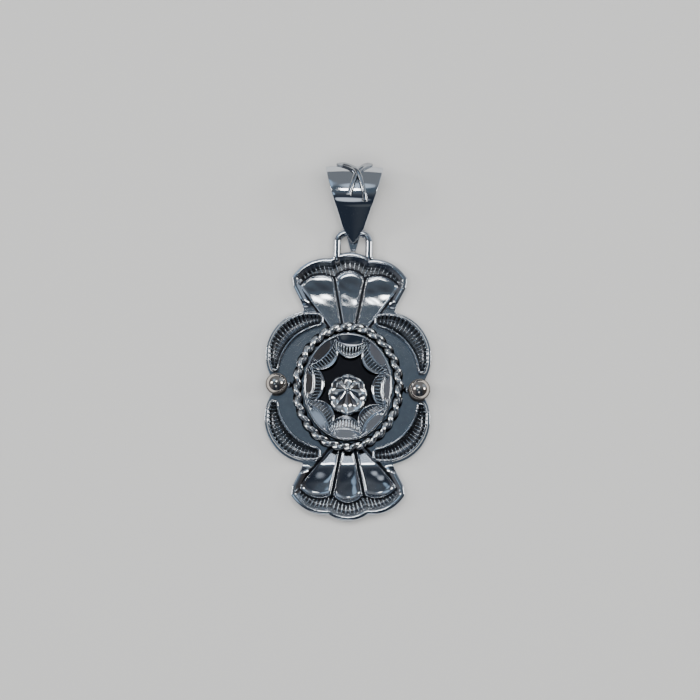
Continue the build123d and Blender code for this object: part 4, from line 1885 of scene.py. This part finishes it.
@dataclass
class Bail:
    """Tapered strip folded to a teardrop, with two crossed wires over its fold.

    Attributes:
        half_angle: Half the angle between the strip's front and back, in degrees.
        fold_swell: The fold's even radius, and how much wider it is, round which angle and how far round it.
        tip_y: Where the strip's back ends.
        front_tip: Where its front ends, y and z.
        front_round: Length over which its front narrows to its tip.
        crown: How far the strip's edges fall off beside its middle, at its widest.
        wires: Each wire's x at its low end, at the crossing and at its high end, its low end's y, and how far it
            stands up where it crosses.
        wire_end_angle: How far round the fold the wires reach, in degrees.
        wire_stations: Points along a wire.
        front_points: Points along the strip's front.
        strip_worn: How brightly the strip is rubbed.
        wire_worn: How brightly the wires are rubbed.
    """

    x: float = 0.4
    thickness: float = 0.6
    half_angle: float = 19.0
    fold_radius: float = 3.35
    fold_end_y: float = 31.648
    fold_swell: tuple[float, float, float, float] = (0.8, 0.6, 76.0, 13.0)
    tip_y: float = 19.7
    front_tip: tuple[float, float] = (20.75, 1.66)
    front_round: float = 1.9
    tip_width: float = 0.9
    fold_width: float = 7.9
    crown: float = 0.2
    edge_round: float = 0.14
    wire: float = 0.74
    wire_sink: float = 0.15
    crossing_y: float = 30.2
    wires: tuple[tuple[tuple[float, float, float], float, float], ...] = (
        ((-0.75, 0.42, 2.45), 26.98, 0.0),
        ((1.56, 0.42, -2.45), 26.25, 0.25),
    )
    wire_end_angle: float = 84.0
    wire_stations: int = 44
    front_points: int = 33
    strip_worn: float = 0.85
    wire_worn: float = 0.52

    def fold(self, angles: np.ndarray) -> tuple[np.ndarray, np.ndarray]:
        """Where the fold's outer face stands at given angles of its normal, from 0 northward to 90 upward.

        Args:
            angles: Angles in degrees, from -90 to beyond 90.

        Returns:
            The points' y and z.
        """
        steps = np.radians(np.arange(-90, 90 + 2 * self.half_angle + 1e-6, 0.5))
        tight, more, middle, spread = self.fold_swell
        bend = tight + more * np.exp(-(((np.degrees(steps) - middle) / spread) ** 2))
        y = np.concatenate([[0], np.cumsum(-(bend * np.sin(steps))[:-1] * np.diff(steps))])
        z = np.concatenate([[0], np.cumsum((bend * np.cos(steps))[:-1] * np.diff(steps))])
        size = 2 * self.fold_radius / z.max()
        y, z = y * size, z * size
        y += self.fold_end_y - y.max()
        return np.interp(angles, np.degrees(steps), y), np.interp(angles, np.degrees(steps), z)

    def side_path(self) -> tuple[np.ndarray, np.ndarray]:
        """Outer line of the folded strip seen from the side, with its outward normals.

        Returns:
            The points and their normals, each y and z.
        """
        angles = np.linspace(-90, 90 + 2 * self.half_angle, 76)
        fold = np.column_stack(self.fold(angles))
        normal = np.column_stack([np.cos(np.radians(angles)), np.sin(np.radians(angles))])
        back = np.column_stack([np.linspace(self.tip_y, fold[0, 0], 26, endpoint=False), np.zeros(26)])
        back_normal = np.tile((0.0, -1.0), (26, 1))
        top = fold[-1]
        lean = math.atan2(top[1] - self.front_tip[1], top[0] - self.front_tip[0])
        front = top + np.linspace(0, 1, self.front_points + 1)[1:, None] * (np.array(self.front_tip) - top)
        front_normal = np.tile((-math.sin(lean), math.cos(lean)), (self.front_points, 1))
        return np.vstack([back, fold, front]), np.vstack([back_normal, normal, front_normal])

    def half_widths(self, path: np.ndarray) -> np.ndarray:
        """Half the strip's width at each point of its outer line.

        Args:
            path: Points of the line, y and z.

        Returns:
            Half widths.
        """
        angle = math.radians(self.half_angle)
        reach = self.fold_end_y - self.tip_y
        along = (path[:, 0] - self.tip_y) * math.cos(angle) + path[:, 1] * math.sin(angle)
        half = self.tip_width / 2 + (self.fold_width - self.tip_width) / 2 * along / reach
        front = np.arange(len(path)) >= len(path) - self.front_points
        share = np.clip((path[:, 0] - self.front_tip[0]) / self.front_round, 0.02, 1)
        return np.where(front, half * share**0.45, half)

    def build(self) -> list[bpy.types.Object]:
        """Fold the strip and solder the crossed wires over it.

        Returns:
            The strip and the wires.
        """
        path, normal = self.side_path()
        half = self.half_widths(path)
        vertices, faces = skin([self.section(*spot, *facing, w) for spot, facing, w in zip(path, normal, half)])
        vertices[:, 0] += self.x
        wires, wire_faces = merged([self.cross_wire(*wire) for wire in self.wires])
        return [
            piece_from("bail_strip", vertices, faces, np.full(len(vertices), self.strip_worn), MIRROR),
            piece_from("crossed_wires", wires, wire_faces, np.full(len(wires), self.wire_worn), STAMPED),
        ]

    def section(self, y: float, z: float, ny: float, nz: float, half: float) -> np.ndarray:
        """One section across the strip: a flat oblong with rounded edges and a slight crown.

        Args:
            y: Where the middle of its outer face lies, along the pendant.
            z: The same, upwards.
            ny: The outer face's normal there, along the pendant.
            nz: The same, upwards.
            half: Half its width.

        Returns:
            Its points, anticlockwise seen from the tip of the strip's front.
        """
        r = min(self.edge_round, half * 0.4)
        across = np.linspace(-1, 1, 17) * (half - r)
        drop = self.fall(across, half)
        turn = np.linspace(math.pi / 2, 0, 5)[1:-1]
        upper = np.column_stack([half - r + r * np.cos(turn), -drop[-1] - r + r * np.sin(turn)])
        inner = -self.thickness - np.minimum(drop, 0.15)
        low = np.linspace(upper[-1, 1] - 0.05, inner[-1] + 0.05, len(upper))
        lower = np.column_stack([upper[::-1, 0], low])
        outside, inside = np.column_stack([across, -drop]), np.column_stack([across[::-1], inner[::-1]])
        loop = np.vstack([outside, upper, lower, inside, lower[::-1] * (-1, 1), upper[::-1] * (-1, 1)])[::-1]
        return np.column_stack([loop[:, 0], y + ny * loop[:, 1], z + nz * loop[:, 1]])

    def fall(self, x: np.ndarray, half: float) -> np.ndarray:
        """How far the strip's outer face falls off beside its middle, where it is so wide."""
        return self.crown * (half / (self.fold_width / 2)) * np.abs(x / half) ** 2

    def cross_wire(
        self, across: tuple[float, float, float], low_y: float, overpass: float
    ) -> tuple[np.ndarray, list[list[int]]]:
        """One wire of the X, from its beaded lower end over the fold to its pointed upper end.

        Args:
            across: Where it lies across the strip at its low end, at the crossing and at its high end.
            low_y: Where its low end lies along the pendant.
            overpass: How far it stands up where it crosses the other wire.

        Returns:
            Points and faces.
        """
        around = np.linspace(0, 90 + 2 * self.half_angle, 200)
        y = self.fold(around)[0]
        low_angle, crossing = 90 - np.interp((low_y, self.crossing_y), y[::-1], around[::-1])
        degrees = np.linspace(low_angle, self.wire_end_angle, self.wire_stations)
        x = np.polyval(np.polyfit([low_angle, crossing, self.wire_end_angle], across, 2), degrees)
        lift = self.wire / 2 - self.wire_sink + overpass * np.exp(-(((degrees - crossing) / 14) ** 2))
        lift = lift - self.fall(x, self.fold_width / 2)
        y, z = self.fold(90 - degrees)
        y = y + lift * np.sin(np.radians(degrees))
        z = z + lift * np.cos(np.radians(degrees))
        share = np.linspace(0, 1, self.wire_stations)
        radii = self.wire / 2 * (1.25 - 0.25 * smooth(0, 0.1, share) - 0.4 * smooth(0.85, 1, share))
        return tube(np.column_stack([x + self.x, y, z]), radii, 12)


# Studio

@dataclass(frozen=True)
class Glow:
    """A soft pale patch of the room that the silver mirrors.

    Attributes:
        across: Degrees from straight up towards the right.
        back: Degrees towards the pendant's upper end.
        inner: Degrees from its middle up to which it is full.
        outer: Degrees from its middle at which it has faded.
        colour: Its colour.
    """

    across: float
    back: float
    inner: float
    outer: float
    colour: Colour


@dataclass(frozen=True)
class Lamp:
    """An oblong light that faces the pendant.

    Attributes:
        name: Light's name.
        across: Degrees from straight up towards the right.
        back: Degrees towards the pendant's upper end.
        sides: Sides in metres, across and along the pendant.
        power: Watts.
        in_metal: Whether the metal mirrors it.
    """

    name: str
    across: float
    back: float
    sides: tuple[float, float]
    power: float
    in_metal: bool = True


@dataclass
class Studio:
    """Plain pale floor, soft lights and the camera.

    Attributes:
        aim: Point that the camera and the lights face.
        elevation: Degrees that the camera stands above the floor.
        field: Width that the camera sees.
        roll: Degrees that it is turned about its own line of sight.
        light_distance: Distance of the lights in metres.
        floor_half: Half the floor's side in metres.
        depth_edges: Where, from in front to beyond, the room's colour begins and ends to change.
        side_edges: The same from the middle to a side.
        front: Colour of the room in front.
        beyond: Colour of the room beyond the upper end.
        right_wall: Colour of the room on the right.
        left_wall: Colour of the room on the left.
    """

    floor_grey: Colour = (0.68, 0.675, 0.66)
    aim: tuple[float, float, float] = (0.21, 5.29, 2.0)
    elevation: float = 84.0
    distance: float = 900.0
    field: float = 100.0
    roll: float = 1.0
    light_distance: float = 0.4
    floor_half: float = 1.5
    depth_edges: tuple[float, float] = (-0.45, 0.6)
    side_edges: tuple[float, float] = (0.3, 0.9)
    light_colour: Colour = (1.0, 0.99, 0.97)
    lamps: tuple[Lamp, ...] = (
        Lamp("left", -52, 12, (0.09, 0.09), 0.32),
        Lamp("overhead", -2, 17, (0.07, 0.05), 0.12),
        Lamp("right", 56, 11, (0.09, 0.09), 0.32),
        Lamp("fill", 0, 0, (0.5, 0.5), 2.3, in_metal=False),
    )
    front: Colour = (0.023, 0.031, 0.047)
    beyond: Colour = (0.2, 0.215, 0.235)
    right_wall: Colour = (0.062, 0.058, 0.06)
    left_wall: Colour = (0.15, 0.152, 0.168)
    glows: tuple[Glow, ...] = (
        Glow(0, 14, 9, 20, (0.08, 0.108, 0.14)),
        Glow(-24, 34, 11, 17, (0.4, 0.56, 0.76)),
        Glow(50, 50, 12, 28, (0.36, 0.43, 0.52)),
        Glow(2, 27, 5, 10, (0.62, 0.72, 0.86)),
        Glow(-19, -7, 5, 9, (0.42, 0.58, 0.76)),
        Glow(6, -68, 0, 13, (0.085, 0.095, 0.105)),
        Glow(-3, -34, 6, 13, (0.8, 0.86, 0.95)),
    )

    def build(self) -> None:
        """Set up the floor, the room, the lights and the camera."""
        self.floor()
        self.room()
        for lamp in self.lamps:
            self.hang(lamp)
        self.camera()

    @staticmethod
    def towards(across: float, back: float) -> Vector:
        """Direction so many degrees from straight up towards the right and the pendant's upper end."""
        turn, tilt = math.radians(across), math.radians(back)
        return Vector((math.sin(turn), math.cos(turn) * math.sin(tilt), math.cos(turn) * math.cos(tilt)))

    def floor(self) -> None:
        """Lay the floor."""
        mesh = bpy.data.meshes.new("floor")
        half = self.floor_half
        mesh.from_pydata([(-half, -half, 0), (half, -half, 0), (half, half, 0), (-half, half, 0)], [], [(0, 1, 2, 3)])
        material = bpy.data.materials.new("pale floor")
        material.use_nodes = True
        shader = material.node_tree.nodes["Principled BSDF"]
        shader.inputs["Base Color"].default_value = (*self.floor_grey, 1)
        shader.inputs["Roughness"].default_value = 0.95
        shader.inputs["Specular IOR Level"].default_value = 0.1
        mesh.materials.append(material)
        floor = linked("floor", mesh)

    def room(self) -> None:
        """Surround the pendant with a dim slate room, darkest in front, with pale glows."""
        world = bpy.data.worlds.new("studio")
        bpy.context.scene.world = world
        world.use_nodes = True
        tree = world.node_tree
        place = add_node(tree, "ShaderNodeTexCoord").outputs["Generated"]
        split = add_node(tree, "ShaderNodeSeparateXYZ", {0: place}).outputs
        sky = blend(tree, ramp(tree, split["Y"], *self.depth_edges), self.front, self.beyond)
        near, far = self.side_edges
        sky = blend(tree, ramp(tree, split["X"], near, far), sky, self.right_wall)
        sky = blend(tree, ramp(tree, split["X"], -near, -far), sky, self.left_wall)
        for glow in self.glows:
            given = {0: place, 1: self.towards(glow.across, glow.back)}
            facing = add_node(tree, "ShaderNodeVectorMath", given, operation="DOT_PRODUCT").outputs["Value"]
            edges = math.cos(math.radians(glow.outer)), math.cos(math.radians(glow.inner))
            sky = blend(tree, ramp(tree, facing, *edges), sky, glow.colour)
        tree.links.new(sky, tree.nodes["Background"].inputs["Color"])

    def hang(self, lamp: Lamp) -> None:
        """Hang a light.

        Args:
            lamp: The light.
        """
        data = bpy.data.lights.new(lamp.name, "AREA")
        data.shape = "RECTANGLE"
        data.size, data.size_y = lamp.sides
        data.energy = lamp.power
        data.color = self.light_colour
        hung = linked(lamp.name, data)
        hung.visible_glossy = lamp.in_metal
        direction = self.towards(lamp.across, lamp.back)
        spot = Vector(self.aim) * MM + direction * self.light_distance
        hung.matrix_world = Matrix.Translation(spot) @ direction.to_track_quat("Z", "Y").to_matrix().to_4x4()

    def camera(self) -> None:
        """Look down on the pendant from the photographed angle."""
        data = bpy.data.cameras.new("camera")
        data.sensor_width = 36
        data.lens = 36 * self.distance / self.field
        data.clip_start = 0.01
        data.clip_end = 10
        angle = math.radians(self.elevation)
        back = Vector((0, -math.cos(angle), math.sin(angle)))
        spot = (Vector(self.aim) + back * self.distance) * MM
        facing = (-back).to_track_quat("-Z", "Y").to_matrix().to_4x4()
        camera = linked("camera", data)
        camera.matrix_world = Matrix.Translation(spot) @ facing @ Matrix.Rotation(math.radians(self.roll), 4, "Z")
        bpy.context.scene.camera = camera


def dress(pieces: Sequence[bpy.types.Object], body: Body) -> None:
    """Fix pieces to a body, in place of its solid, and report them.

    Args:
        pieces: The pieces.
        body: Body that they move with.
    """
    for piece in pieces:
        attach(piece, body.value)
        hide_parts(body.value)
        log.info("%s: %d faces", piece.name, len(piece.data.polygons))


def main() -> None:
    """Build the pendant piece by piece and light it."""
    logging.basicConfig(level=logging.INFO, format="%(message)s")
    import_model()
    Studio().build()
    dress(BasePlate().build(), Body.PENDANT)
    for end in End:
        for side in Side:
            dress(Crescent(side, end).build(), Body.PENDANT)
    dress(Medallion().build(), Body.PENDANT)
    dress(RopeRing("rope_ring").build(), Body.PENDANT)
    dress(Boss().build(), Body.PENDANT)
    for side in Side:
        dress(Ball(side).build(), Body.PENDANT)
    dress(BailLoop().build(), Body.PENDANT)
    dress(Bail().build(), Body.BAIL)


if __name__ == "__main__":
    main()
